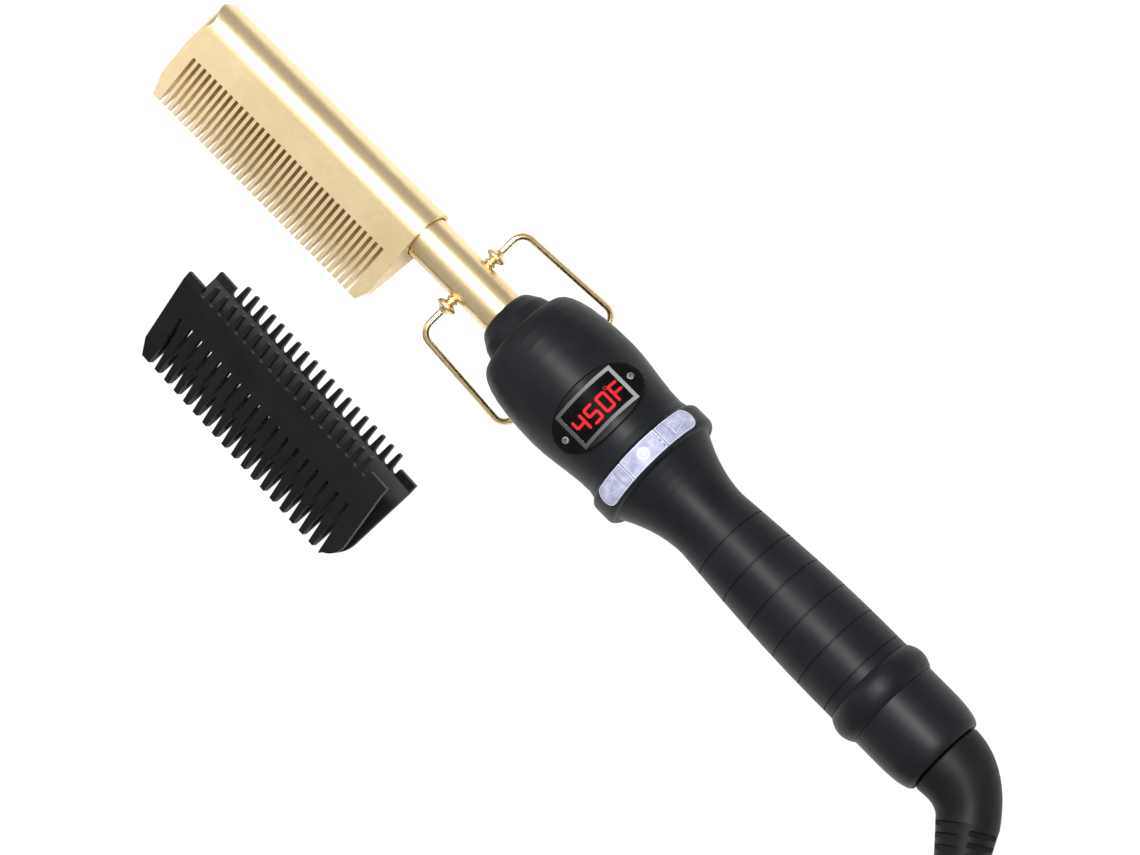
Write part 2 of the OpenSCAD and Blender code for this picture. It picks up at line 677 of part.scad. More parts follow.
// ---------------------------------------------------------------- rear of the handle
module rear_ring() color([0.12, 0.12, 0.13]) place() difference() {
    spun(concat(
        [[ring_x + part_gap, 0]],
        [for (i = [0:10]) let (t = i / 10)
            [ring_x + part_gap + (rear_ring_w - 2 * part_gap) * t, grip_r + (rear_ring_r - grip_r) * pow(sin(180 * t), 0.8)]],
        [[cap_x - part_gap, 0]]
    ));
    rod_x(0, big, tongue_r + fit);
}
module end_cap() color([0.13, 0.13, 0.14]) place() difference() {
    spun(concat(
        [[cap_x, 0], [cap_x, grip_r]],
        [for (i = [0:10]) let (t = sin(9 * i))
            [tail_x - 12 + 12 * t, cap_end_r + (grip_r - cap_end_r) * pow(max(0, 1 - pow(t, 2.2)), 1 / 2.2)]],
        [[tail_x, 0]]
    ));
    rod_x(0, web_front, cap_bore_r);
    rod_x(0, big, swivel_r + swivel_clear);
}
module brush_block() color("saddlebrown") place()
    tube_x(neck_front + 0.5, web_front - neck_flange_w - 1, cap_bore_r - fit, slip_ring_r + brush_gap);
module swivel_neck() color("dimgray") place() difference() {
    union() {
        rod_x(neck_front, boot_x + neck_in_boot, neck_stub_r);
        rod_x(web_front - neck_flange_w - 0.3, boot_x + neck_in_boot, swivel_r);
        rod_x(web_front - neck_flange_w - 0.3, web_front - 0.3, neck_flange_r);
    }
    rod_x(neck_front - 1, boot_x + neck_in_boot + 1, cord_d / 2 - 0.6);
}
module slip_rings() color("gold") place() for (x = slip_ring_x)
    tube_x(x, x + slip_ring_w, slip_ring_r, neck_stub_r + 0.02);

// ---------------------------------------------------------------- swept tubes
function unit(v) = v / norm(v);
function path_dir(path, i) = unit(path[min(i + 1, len(path) - 1)] - path[max(i - 1, 0)]);
module sweep(path, radii, sides, caps_dir = [undef, undef]) {
    n = len(path);
    dirs = [for (i = [0:n - 1])
        i == 0 && caps_dir[0] != undef ? caps_dir[0] : i == n - 1 && caps_dir[1] != undef ? caps_dir[1] : path_dir(path, i)];
    points = [for (i = [0:n - 1]) let (t = dirs[i], side = unit(cross([0, 0, 1], t)), up = cross(t, side))
        for (k = [0:sides - 1]) let (a = 360 * (k + 0.5) / sides) path[i] + radii[i] * (cos(a) * side + sin(a) * up)];
    faces = concat(
        [for (i = [0:n - 2], k = [0:sides - 1]) let (a = i * sides + k, b = i * sides + (k + 1) % sides)
            each [[a, b + sides, b], [a, a + sides, b + sides]]],
        [for (k = [1:sides - 2]) each [[0, k, k + 1], [(n - 1) * sides, (n - 1) * sides + k + 1, (n - 1) * sides + k]]]
    );
    polyhedron(points, faces);
}

// ---------------------------------------------------------------- boot with its strain relief
boot_sides = 24;
slot_pitch_relief = relief_length / (relief_slots + 1.5);
relief_cut = 1.5;
relief_spine = 36;
boot_stations = concat(
    [0, boot_straight],
    [for (i = [1:boot_rings]) boot_straight + (boot_bend_end - boot_straight) * i / boot_rings],
    [for (i = [1:5]) boot_bend_end + relief_length * i / 5]
);
module boot_shape() sweep(
    [for (s = boot_stations) [boot_point(s)[0], boot_point(s)[1], 0]],
    [for (s = boot_stations) boot_radius(s)],
    boot_sides, [[1, 0, 0], [cos(boot_angle), -sin(boot_angle), 0]]
);
module cord_boot() color([0.12, 0.12, 0.13]) place() difference() {
    boot_shape();
    rod_x(boot_x - 1, boot_x + neck_in_boot + fit, swivel_r + fit);
    for (i = [0:relief_slots - 1], quarter = [0:3]) {
        s = boot_bend_end + slot_pitch_relief * (i + (quarter % 2 == 0 ? 0.25 : 0.75));
        translate([boot_point(s)[0], boot_point(s)[1], 0]) rotate([0, 0, -boot_angle]) rotate([90 * quarter + 45, 0, 0])
            block([-relief_cut / 2, -20, boot_radius(s) * cos(relief_spine)], [relief_cut / 2, 20, 20]);
    }
}

// ---------------------------------------------------------------- folding wire stand
function turn_of(a, b) = atan2(a[0] * b[1] - a[1] * b[0], a * b);
// The middle line through the points in the plane z = 0, with every corner bent to the same radius
function bent_line(points, bend, steps) =
    let (last = len(points) - 1, dirs = [for (i = [0:last - 1]) unit(points[i + 1] - points[i])])
    concat([points[0]], [for (i = [1:last - 1])
        let (turn = turn_of(dirs[i - 1], dirs[i]), side = sign(turn), cut = bend * tan(abs(turn) / 2))
        let (start = points[i] - dirs[i - 1] * cut, centre = start + bend * side * [-dirs[i - 1][1], dirs[i - 1][0]])
        let (from = atan2(start[1] - centre[1], start[0] - centre[0]))
        for (k = [0:steps]) centre + bend * [cos(from + turn * k / steps), sin(from + turn * k / steps)]
    ], [points[last]]);
module on_stand() translate([pivot_x, 0, 0]) rotate([0, stand_angle, 0]) children();
wire_start_y = collar_y + collar_thick;
stand_line = bent_line([
    [0, wire_start_y], [0, stand_half_front], [stand_length, stand_half_rear],
    [stand_length, -stand_half_rear], [0, -stand_half_front], [0, -wire_start_y],
], wire_bend, 7);
wire_sides = 16;
module stand_bail() color([0.85, 0.68, 0.38]) place() on_stand() {
    sweep([for (p = stand_line) [p[0], p[1], 0]], [for (p = stand_line) wire_r], wire_sides, [[0, 1, 0], [0, 1, 0]]);
    for (side = [-1, 1]) mirror([0, side < 0 ? 1 : 0, 0]) rod_y(pivot_end_y, wire_start_y + 0.5, pin_r);
}
module stand_collars() color([0.85, 0.68, 0.38]) place() on_stand() for (side = [-1, 1]) rotate([-90 * side, 0, 0])
    translate([0, 0, collar_y]) rotate_extrude() polygon([
        [pin_r + 0.01, 0], [collar_d / 2 - 0.3, 0], [collar_d / 2, 0.4], [collar_d / 2, collar_thick * 0.6],
        [collar_d * 0.32, collar_thick], [pin_r + 0.01, collar_thick],
    ]);

// ---------------------------------------------------------------- comb guard
// In its own frame the guard's closed edge lies along X at y = 0, and its mid-plane is z = 0
guard_in = head_back_r + guard_clear;
guard_out = guard_in + guard_wall;
function guard_face(y, extra) = tip_thickness / 2 + (y - guard_tip_gap) * tan(wedge_angle) + (guard_clear + extra) / cos(wedge_angle);
function guard_bend(extra) = guard_tip_gap + (head_back_r + guard_clear + extra - tip_thickness / 2
    - (guard_clear + extra) / cos(wedge_angle)) / tan(wedge_angle);
guard_top = guard_bend(guard_wall) + finger_length;
guard_edge = guard_face(0, guard_wall);
module guard_section() difference() {
    polygon([
        [0, guard_edge], [guard_bend(guard_wall), guard_out], [guard_top, guard_out],
        [guard_top, -guard_out], [guard_bend(guard_wall), -guard_out], [0, -guard_edge],
    ]);
    polygon([
        [guard_tip_gap - 0.6, 0], [guard_tip_gap, guard_face(guard_tip_gap, 0)], [guard_bend(0), guard_in],
        [guard_top + 1, guard_in], [guard_top + 1, -guard_in], [guard_bend(0), -guard_in],
        [guard_tip_gap, -guard_face(guard_tip_gap, 0)],
    ]);
}
module coarse_cuts() for (i = [0:coarse_slots - 1]) translate([guard_length / 2 + (i - (coarse_slots - 1) / 2) * coarse_pitch, 0]) {
    polygon([
        [-coarse_tip / 2, -1], [coarse_tip / 2, -1],
        [coarse_root / 2, coarse_depth - coarse_root / 2], [-coarse_root / 2, coarse_depth - coarse_root / 2],
    ]);
    translate([0, coarse_depth - coarse_root / 2]) circle(d = coarse_root);
}
finger_gap_root = finger_pitch - finger_root;
finger_gap_tip = finger_pitch - finger_tip;
finger_base = guard_bend(0);
module finger_cuts() {
    for (i = [0:finger_count]) translate([guard_length / 2 + (i - finger_count / 2) * finger_pitch, 0]) {
        translate([0, finger_base + finger_gap_root / 2]) circle(d = finger_gap_root);
        polygon([
            [-finger_gap_root / 2, finger_base + finger_gap_root / 2], [finger_gap_root / 2, finger_base + finger_gap_root / 2],
            [finger_gap_tip / 2, guard_top + 1], [-finger_gap_tip / 2, guard_top + 1],
        ]);
    }
    for (end = [0, 1]) mirror([end, 0]) translate([-end * guard_length, 0])
        translate([-1, guard_bend(guard_wall) + guard_block])
            square([guard_length / 2 - (finger_count - 0.6) / 2 * finger_pitch + 1, finger_length]);
}
module guard_corners() {
    polygon([[-1, -1], [guard_cut * 0.6, -1], [guard_cut * 0.6, 0], [0, guard_cut * 1.4], [-1, guard_cut * 1.4]]);
    difference() {
        translate([guard_length - guard_round * 0.6, -1]) square([guard_round, guard_round + 1]);
        translate([guard_length - guard_round, guard_round]) circle(r = guard_round);
        translate([guard_length - guard_round * 1.2, -2]) square([guard_round * 0.6, guard_round + 2]);
    }
}
module comb_guard() color([0.13, 0.13, 0.13])
    translate([guard_x + shift[0], guard_y + shift[1], 0]) rotate([0, 0, guard_turn])
    rotate([wedge_angle, 0, 0]) translate([0, 0, guard_edge]) difference() {
        along_x(0, guard_length) guard_section();
        translate([0, 0, -20]) linear_extrude(40) {
            coarse_cuts();
            finger_cuts();
            guard_corners();
        }
    }

// ---------------------------------------------------------------- cord
cord_r = cord_d / 2;
tie_thick = 0.6;
tie_gap = 0.2;
cord_low_z = cord_r + tie_thick + tie_gap;
cord_step = cord_d + coil_spare;
cord_high_z = cord_low_z + cord_step;
coil_inner_r = coil_outer_r - cord_step * coil_turns;
coil_sides = 6;
coil_rings = 24;
plug_axis_z = 7;
// Middle of the coil, and the bearing from it at which the cord comes in
coil_at = [161.2, -75.634];
coil_bearing = 20;
tail_out = 9;
// How far the climb between the two layers swings inwards, clear of the turn beside it
coil_dip = 1.3;
tail_turn = 0.3;
function coil_at_turn(t) =
    let (top = coil_turns + 0.5, all = 2 * coil_turns + 0.5)
    let (radius = t < coil_turns ? coil_outer_r - cord_step * t
        : t < top ? coil_inner_r - coil_dip * sin(360 * (t - coil_turns))
        : t < all ? coil_inner_r + cord_step * (t - top)
        : coil_outer_r + cord_step * (t - all) + tail_out * pow((t - all) / tail_turn, 2))
    let (z = t < coil_turns ? cord_low_z
        : t < top ? cord_low_z + cord_step * ease((t - coil_turns) * 2)
        : t < all ? cord_high_z
        : cord_high_z + (plug_axis_z - cord_high_z) * pow(ease((t - all) / tail_turn), 2))
    let (a = coil_bearing - 360 * t)
    [coil_at[0] + radius * cos(a), coil_at[1] + radius * sin(a), z];
coil_path_turns = 2 * coil_turns + 0.5 + tail_turn;
coil_steps = ceil(coil_path_turns * coil_rings);
coil_curve = [for (i = [0:coil_steps]) coil_at_turn(coil_path_turns * i / coil_steps)];
coil_in_dir = unit([sin(coil_bearing), -cos(coil_bearing), 0]);
tail_end = coil_curve[coil_steps];
tail_dir = let (d = tail_end - coil_curve[coil_steps - 1]) unit([d[0], d[1], 0]);
coil_path = concat([coil_curve[0] - coil_in_dir * cord_d], coil_curve, [tail_end + tail_dir * cord_d, tail_end + 2 * tail_dir * cord_d]);
plug_start = coil_path[len(coil_path) - 1];
coil_length = [for (i = 0, s = 0; i < len(coil_path); s = s + (i + 1 < len(coil_path) ? norm(coil_path[i + 1] - coil_path[i]) : 0), i = i + 1) s];
module cord_coil() color([0.1, 0.1, 0.1]) sweep(coil_path, [for (p = coil_path) cord_r], coil_sides, [coil_in_dir, tail_dir]);

exit_point = placed([boot_tip[0], boot_tip[1], 0]);
exit_dir = unit(placed([boot_tip[0] + cos(boot_angle), boot_tip[1] - sin(boot_angle), 0]) - exit_point);

// The run's middle line on its way down to the table; its ends follow the boot and the coil
run_points = [
    [186.8, -18.75, 14.5], [190.1, -24, 12.94], [193.2, -29.33, 10.52], [196.2, -34.63, 7.94],
    [199, -39.93, 5.78], [201.4, -44.83, 4.43], [203.3, -49.53, 3.95],
];
run_path = concat([exit_point, exit_point + exit_dir * cord_d], run_points, [coil_path[0]]);
run_sides = 8;
module cord_run() color([0.1, 0.1, 0.1]) sweep(run_path, [for (p = run_path) cord_r], run_sides, [exit_dir, coil_in_dir]);
run_length = [for (i = 0, s = 0; i < len(run_path); s = s + (i + 1 < len(run_path) ? norm(run_path[i + 1] - run_path[i]) : 0), i = i + 1) s];
near_turn = round(coil_rings * 0.6);
coil_gap = min([for (i = [0:len(coil_path) - 1], j = [i + near_turn:1:len(coil_path) - 1]) norm(coil_path[i] - coil_path[j])]) - cord_d;
echo("least gap of the coil to itself", coil_gap);
echo("length of the cord", run_length[len(run_length) - 1] + coil_length[len(coil_length) - 1]);

tie_bearing = 70;
tie_width = 5;
tie_low_r = coil_inner_r - cord_r - tie_gap - tie_thick;
tie_high_r = coil_outer_r + cord_r + tie_gap + tie_thick;
tie_top = cord_high_z + cord_r + tie_gap + tie_thick;
module coil_tie() color("black") translate([coil_at[0], coil_at[1], 0]) rotate([0, 0, tie_bearing]) difference() {
    block([tie_low_r, -tie_width / 2, 0], [tie_high_r, tie_width / 2, tie_top]);
    block([tie_low_r + tie_thick, -tie_width, tie_thick], [tie_high_r - tie_thick, tie_width, tie_top - tie_thick]);
}

plug_neck = 12;
plug_neck_r = 4.4;
plug_length = 26;
plug_width = 23;
plug_corner = 5;
plug_edge = 2;
blade_width = 6.35;
blade_thick = 1.5;
blade_length = 17.5;
blade_span = 12.7;
blade_hole = 3.2;
module at_plug() translate([plug_start[0], plug_start[1], plug_axis_z]) rotate([0, 0, atan2(tail_dir[1], tail_dir[0])]) children();
module rounded(length, width, corner) {
    translate([corner, -width / 2]) square([length - corner, width]);
    translate([0, -width / 2 + corner]) square([corner + 1, width - 2 * corner]);
    for (side = [-1, 1]) translate([corner, side * (width / 2 - corner)]) circle(r = corner);
}
module plug_body() color([0.1, 0.1, 0.1]) at_plug() difference() {
    union() {
        rotate([0, 90, 0]) cylinder(h = plug_neck + 1, r1 = plug_neck_r, r2 = plug_neck_r + 1.2);
        intersection() {
            translate([plug_neck, 0, -plug_axis_z]) linear_extrude(2 * plug_axis_z) rounded(plug_length, plug_width, plug_corner);
            translate([plug_neck, plug_width / 2, 0]) rotate([90, 0, 0]) linear_extrude(plug_width) rounded(plug_length, 2 * plug_axis_z, plug_edge);
        }
    }
    for (side = [-1, 1]) block(
        [plug_neck + plug_length - 4, side * blade_span / 2 - blade_thick / 2, -blade_width / 2],
        [plug_neck + plug_length + 1, side * blade_span / 2 + blade_thick / 2, blade_width / 2]
    );
}
module plug_blades() color("silver") at_plug() for (side = [-1, 1]) difference() {
    block(
        [plug_neck + plug_length - 4, side * blade_span / 2 - blade_thick / 2, -blade_width / 2],
        [plug_neck + plug_length + blade_length, side * blade_span / 2 + blade_thick / 2, blade_width / 2]
    );
    translate([plug_neck + plug_length + blade_length - 4.5, side * blade_span / 2, 0]) rod_y(-2, 2, blade_hole / 2);
}

comb_head();
heater_tube();
ptc_heater();
thermistor();
barrel_sleeve();
pivot_bushing();
nose_collar();
upper_shell();
lower_shell();
case_screws();
display_lens();
display_bezel();
display_screen();
lens_screws();
display_module();
main_board();
power_module();
key_bracket();
tact_switches();
rear_ring();
end_cap();
brush_block();
power_key();
up_key();
down_key();
stand_bail();
stand_collars();
swivel_neck();
slip_rings();
cord_boot();
cord_run();
cord_coil();
coil_tie();
plug_body();
plug_blades();
comb_guard();
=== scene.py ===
import math

import bmesh
import bpy
from mathutils import Matrix, Vector


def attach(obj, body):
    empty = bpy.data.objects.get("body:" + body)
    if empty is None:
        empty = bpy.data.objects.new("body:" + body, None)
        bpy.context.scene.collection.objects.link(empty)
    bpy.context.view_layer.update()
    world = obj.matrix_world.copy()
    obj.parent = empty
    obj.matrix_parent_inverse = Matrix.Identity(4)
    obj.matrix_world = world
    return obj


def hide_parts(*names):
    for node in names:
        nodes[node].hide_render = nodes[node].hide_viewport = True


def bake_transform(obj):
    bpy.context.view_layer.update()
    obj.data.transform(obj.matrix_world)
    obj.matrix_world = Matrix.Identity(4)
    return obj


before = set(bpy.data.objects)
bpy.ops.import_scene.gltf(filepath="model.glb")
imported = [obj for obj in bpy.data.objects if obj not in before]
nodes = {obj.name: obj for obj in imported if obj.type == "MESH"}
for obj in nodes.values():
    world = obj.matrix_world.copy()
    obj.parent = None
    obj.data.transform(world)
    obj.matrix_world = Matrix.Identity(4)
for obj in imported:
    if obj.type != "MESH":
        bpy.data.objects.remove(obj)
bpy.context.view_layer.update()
MM = 0.001

# ---------------------------------------------------------------- tool frame
# the tool's axis lies along X; it leans on its stand and its key ring, beside the guard
TILT = math.radians(2.20888)
SHIFT = Vector((-51.1116, 33.0999, 24.1933))
PLACE = Matrix.Translation(SHIFT * MM) @ Matrix.Rotation(TILT, 4, "Y")


def tool(x, y, z):
    """A point of the tool's own frame, in mm, as a point of the row frame, in metres."""
    return PLACE @ (Vector((x, y, z)) * MM)


def tool_dir(x, y, z):
    return (PLACE.to_3x3() @ Vector((x, y, z))).normalized()


# ---------------------------------------------------------------- camera
LOOK = (39.0, -10.0)
CAMERA_TILT = math.radians(12.5)
CAMERA_DISTANCE = 1200.0
FOCAL_PX = 3955.0
PICTURE_PX = 1140
SENSOR_MM = 36
CAMERA_ROLL = math.radians(0.24)


def make_camera():
    target = Vector((LOOK[0], LOOK[1], 0))
    back = Vector((math.sin(CAMERA_TILT), 0, math.cos(CAMERA_TILT)))
    along = Vector((math.cos(CAMERA_TILT), 0, -math.sin(CAMERA_TILT)))
    across = Vector((0, 1, 0))
    right = (along + across).normalized()
    up = (across - along).normalized()
    c, s = math.cos(CAMERA_ROLL), math.sin(CAMERA_ROLL)
    right, up = right * c + up * s, up * c - right * s
    turn = PLACE.to_3x3() @ Matrix((right, up, back)).transposed()
    data = bpy.data.cameras.new("camera")
    data.sensor_width = SENSOR_MM
    data.lens = SENSOR_MM * FOCAL_PX / PICTURE_PX
    data.clip_start = 0.05
    data.clip_end = 20
    cam = bpy.data.objects.new("camera", data)
    bpy.context.scene.collection.objects.link(cam)
    p = target + back * CAMERA_DISTANCE
    cam.matrix_world = Matrix.Translation(tool(*p)) @ turn.to_4x4()
    bpy.context.scene.camera = cam


make_camera()


# ---------------------------------------------------------------- mesh helpers
def mesh_object(name, verts, faces):
    mesh = bpy.data.meshes.new(name)
    mesh.from_pydata([tuple(v) for v in verts], [], faces)
    mesh.update()
    o = bpy.data.objects.new(name, mesh)
    bpy.context.scene.collection.objects.link(o)
    return o


def sharp(o, degrees):
    """Smooth shading, with edges over that angle kept sharp."""
    for p in o.data.polygons:
        p.use_smooth = True
    bm = bmesh.new()
    bm.from_mesh(o.data)
    limit = math.radians(degrees)
    for e in bm.edges:
        e.smooth = not (len(e.link_faces) == 2 and e.calc_face_angle(0) > limit)
    bm.to_mesh(o.data)
    bm.free()
    return o


def ring_faces(rings, sides):
    """The faces between rings of points, with the first and the last ring closed."""
    faces = []
    for i in range(rings - 1):
        for k in range(sides):
            a, b = i * sides + k, i * sides + (k + 1) % sides
            faces.append((a, b, b + sides, a + sides))
    faces.append(tuple(reversed(range(sides))))
    faces.append(tuple((rings - 1) * sides + k for k in range(sides)))
    return faces


def frames_along(points):
    """Each point with two normals to the path, carried along without twist."""
    pts = [Vector(p) for p in points]
    n = len(pts)
    tan = []
    for i in range(n):
        a, b = pts[max(0, i - 1)], pts[min(n - 1, i + 1)]
        tan.append((b - a).normalized())
    u = tan[0].orthogonal().normalized()
    out = []
    for i in range(n):
        u = (u - tan[i] * u.dot(tan[i])).normalized()
        out.append((pts[i], u, tan[i].cross(u).normalized()))
    return out


def tube(name, points, radius, sides):
    """A round tube along the points, closed at both ends."""
    verts = []
    for p, u, v in frames_along(points):
        for k in range(sides):
            a = 2 * math.pi * k / sides
            verts.append(p + (u * math.cos(a) + v * math.sin(a)) * radius)
    return sharp(mesh_object(name, verts, ring_faces(len(points), sides)), 50)


# ---------------------------------------------------------------- free lead
CORD_D = 6.2
CORD_R = CORD_D / 2
COIL_TURNS = 3.25
CLIMB = 0.5
COIL_OUTER = 48.4
STEP = CORD_D + 0.6
COIL_INNER = COIL_OUTER - STEP * COIL_TURNS
LOW_Z = CORD_R + 0.8
HIGH_Z = LOW_Z + STEP
COIL_AT = (161.2, -75.634)
BEARING = 20.0
TAIL_TURN = 0.3
TAIL_OUT = 9.0
DIP = 1.3
PLUG_Z = 7.0
LEAD_SHARE = 0.985
DISPLAY_X = 44.5


def ease(t):
    """0 to 1 with a slow start and end."""
    return (1 - math.cos(math.pi * t)) / 2


def coil_point(t):
    """The coil after t turns, in mm: inwards, half a turn of climb, outwards, then the tail."""
    top = COIL_TURNS + CLIMB
    end = 2 * COIL_TURNS + CLIMB
    if t < COIL_TURNS:
        r, z = COIL_OUTER - STEP * t, LOW_Z
    elif t < top:
        r = COIL_INNER - DIP * math.sin(2 * math.pi * (t - COIL_TURNS))
        z = LOW_Z + STEP * ease((t - COIL_TURNS) / CLIMB)
    elif t < end:
        r, z = COIL_INNER + STEP * (t - top), HIGH_Z
    else:
        s = (t - end) / TAIL_TURN
        r = COIL_OUTER + STEP * (t - end) + TAIL_OUT * s * s
        z = HIGH_Z + (PLUG_Z - HIGH_Z) * ease(s) ** 2
    a = math.radians(BEARING - 360 * t)
    return Vector((COIL_AT[0] + r * math.cos(a), COIL_AT[1] + r * math.sin(a), z))


def smooth_through(points, steps):
    """Points on a smooth curve through all the points, with even speed between them."""
    pts = [Vector(p) for p in points]
    out = []
    for i in range(len(pts) - 1):
        p0 = pts[i - 1] if i else pts[0] * 2 - pts[1]
        p1, p2 = pts[i], pts[i + 1]
        p3 = pts[i + 2] if i + 2 < len(pts) else pts[-1] * 2 - pts[-2]
        for k in range(steps):
            t = k / steps
            square = 2 * p0 - 5 * p1 + 4 * p2 - p3
            cube = 3 * p1 - p0 - 3 * p2 + p3
            out.append(0.5 * (2 * p1 + (p2 - p0) * t + square * t * t + cube * t ** 3))
    out.append(pts[-1])
    return out


COIL_ALL = 2 * COIL_TURNS + CLIMB + TAIL_TURN
COIL_RINGS = math.ceil(COIL_ALL * 24)
coil_curve = [coil_point(COIL_ALL * i / (2 * COIL_RINGS)) for i in range(2 * COIL_RINGS + 1)]
coil_bearing = math.radians(BEARING)
coil_in = Vector((math.sin(coil_bearing), -math.cos(coil_bearing), 0))
start_point = coil_point(0) - coil_in * CORD_D
last = coil_point(COIL_ALL)
tail_dir = last - coil_point(COIL_ALL * (1 - 1 / COIL_RINGS))
tail_dir.z = 0
tail_dir.normalize()
exit_point = Vector((180.081, -9.04753, 15.2759))
exit_dir = Vector((0.57315, -0.819152, -0.0221072)).normalized()
run = [
    exit_point, exit_point + exit_dir * CORD_D,
    (186.8, -18.75, 14.5), (190.1, -24, 12.94), (193.2, -29.33, 10.52), (196.2, -34.63, 7.94),
    (199, -39.93, 5.78), (201.4, -44.83, 4.43), (203.3, -49.53, 3.95), start_point,
]
plug_end = [last + tail_dir * CORD_D, last + 2 * tail_dir * CORD_D]
cord_line = smooth_through(run, 4)[:-1] + [start_point] + coil_curve + plug_end
cord_path = [p * MM for p in cord_line]
lead = tube("mains_lead", cord_path, CORD_R * MM * LEAD_SHARE, 14)
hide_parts("cord_run", "cord_coil")
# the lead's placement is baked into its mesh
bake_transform(lead)


# ---------------------------------------------------------------- materials
def new_material(name):
    m = bpy.data.materials.new(name)
    m.use_nodes = True
    nt = m.node_tree
    nt.nodes.clear()
    out = nt.nodes.new("ShaderNodeOutputMaterial")
    bsdf = nt.nodes.new("ShaderNodeBsdfPrincipled")
    nt.links.new(bsdf.outputs[0], out.inputs[0])
    return m, nt, bsdf


def node(nt, kind, **values):
    n = nt.nodes.new(kind)
    for k, v in values.items():
        setattr(n, k, v)
    return n


def coords(nt):
    c = node(nt, "ShaderNodeTexCoord")
    return c.outputs["Object"]


def noise_tex(nt, vector, scale, detail=3, rough=0.5):
    n = node(nt, "ShaderNodeTexNoise")
    n.inputs["Scale"].default_value = scale
    n.inputs["Detail"].default_value = detail
    n.inputs["Roughness"].default_value = rough
    nt.links.new(vector, n.inputs["Vector"])
    return n.outputs["Fac"]


def ramp(nt, fac, stops):
    r = node(nt, "ShaderNodeValToRGB")
    els = r.color_ramp.elements
    while len(els) < len(stops):
        els.new(0.5)
    for e, (pos, col) in zip(els, stops):
        e.position = pos
        e.color = (*col, 1)
    nt.links.new(fac, r.inputs["Fac"])
    return r.outputs["Color"]


# the span that the values of a noise texture mostly stay in
NOISE_LOW, NOISE_HIGH = 0.3, 0.7


def tint(nt, fac, dark, light):
    return ramp(nt, fac, [(NOISE_LOW, dark), (NOISE_HIGH, light)])


def spread(nt, fac, low, high):
    m = node(nt, "ShaderNodeMapRange")
    m.inputs["From Min"].default_value = NOISE_LOW
    m.inputs["From Max"].default_value = NOISE_HIGH
    m.inputs["To Min"].default_value = low
    m.inputs["To Max"].default_value = high
    nt.links.new(fac, m.inputs["Value"])
    return m.outputs["Result"]


def bump(nt, height, strength, distance, under=None):
    n = node(nt, "ShaderNodeBump")
    n.inputs["Strength"].default_value = strength
    n.inputs["Distance"].default_value = distance
    nt.links.new(height, n.inputs["Height"])
    if under is not None:
        nt.links.new(under, n.inputs["Normal"])
    return n.outputs["Normal"]


def rounded_edges(nt, radius):
    n = node(nt, "ShaderNodeBevel")
    n.samples = 6
    n.inputs["Radius"].default_value = radius
    return n.outputs["Normal"]


def metal(name, dark, light, rough, grain=2600, bump_mm=0.02, edge=0.0002):
    """Fine blasted metal: colour and gloss vary a little, edges are softly broken."""
    m, nt, b = new_material(name)
    v = coords(nt)
    fine = noise_tex(nt, v, grain, 2)
    wide = noise_tex(nt, v, 45, 3)
    nt.links.new(tint(nt, wide, dark, light), b.inputs["Base Color"])
    nt.links.new(spread(nt, fine, rough - 0.05, rough + 0.06), b.inputs["Roughness"])
    b.inputs["Metallic"].default_value = 1.0
    under = rounded_edges(nt, edge) if edge else None
    nt.links.new(bump(nt, fine, 0.25, bump_mm * MM, under), b.inputs["Normal"])
    return m


def plastic(name, dark, light, rough, grain=3500, strength=0.2, edge=0.00025, spec=0.5):
    """Moulded plastic or rubber with a fine mould grain and slight cloudiness."""
    m, nt, b = new_material(name)
    v = coords(nt)
    fine = noise_tex(nt, v, grain, 2)
    broad = noise_tex(nt, v, 70, 4, 0.6)
    nt.links.new(tint(nt, broad, dark, light), b.inputs["Base Color"])
    nt.links.new(spread(nt, broad, rough - 0.04, rough + 0.04), b.inputs["Roughness"])
    b.inputs["Specular IOR Level"].default_value = spec
    under = rounded_edges(nt, edge) if edge else None
    nt.links.new(bump(nt, fine, strength, 0.02 * MM, under), b.inputs["Normal"])
    return m


def grey(v):
    return (v, v, v * 1.03)


gold = metal("satin_gold", (0.80, 0.62, 0.35), (0.90, 0.72, 0.44), 0.34)
gold_wire = metal("polished_gold_wire", (0.74, 0.55, 0.28), (0.86, 0.68, 0.40), 0.27, grain=900,
                  bump_mm=0.008, edge=0)
soft_touch = plastic("soft_touch_black", (0.0050, 0.0056, 0.0068), (0.0074, 0.0082, 0.0098), 0.42,
                     grain=5200, strength=0.16, edge=0.0003, spec=0.13)
smooth_black = plastic("cap_black", (0.0050, 0.0056, 0.0068), (0.0078, 0.0086, 0.0102), 0.40, grain=5200,
                       strength=0.12, edge=0.0003, spec=0.15)
rubber = plastic("boot_rubber", (0.0052, 0.0054, 0.0060), (0.0088, 0.0090, 0.0098), 0.44, grain=2600,
                 strength=0.2, edge=0.0003, spec=0.1)
cord_rubber = plastic("cord_rubber", (0.0060, 0.0060, 0.0066), (0.0100, 0.0100, 0.0108), 0.43, grain=2200,
                      strength=0.25, edge=0, spec=0.28)
guard_mat = plastic("guard_black", (0.0046, 0.0046, 0.0050), (0.0080, 0.0080, 0.0086), 0.36, grain=2400,
                    strength=0.25, edge=0.00025, spec=0.1)
inner_white = plastic("inner_nylon", (0.60, 0.58, 0.52), (0.70, 0.68, 0.62), 0.5)
board_mat = plastic("circuit_board", (0.015, 0.12, 0.05), (0.025, 0.17, 0.07), 0.4, grain=900)
ceramic = plastic("ceramic_heater", (0.70, 0.69, 0.66), (0.80, 0.79, 0.76), 0.6)
screw_head = plastic("screw_head_dark", (0.030, 0.030, 0.032), (0.045, 0.045, 0.048), 0.45, grain=1800,
                     spec=0.2, edge=0.0001)
steel = metal("plated_steel", (0.52, 0.52, 0.53), (0.64, 0.64, 0.65), 0.25, grain=1800)
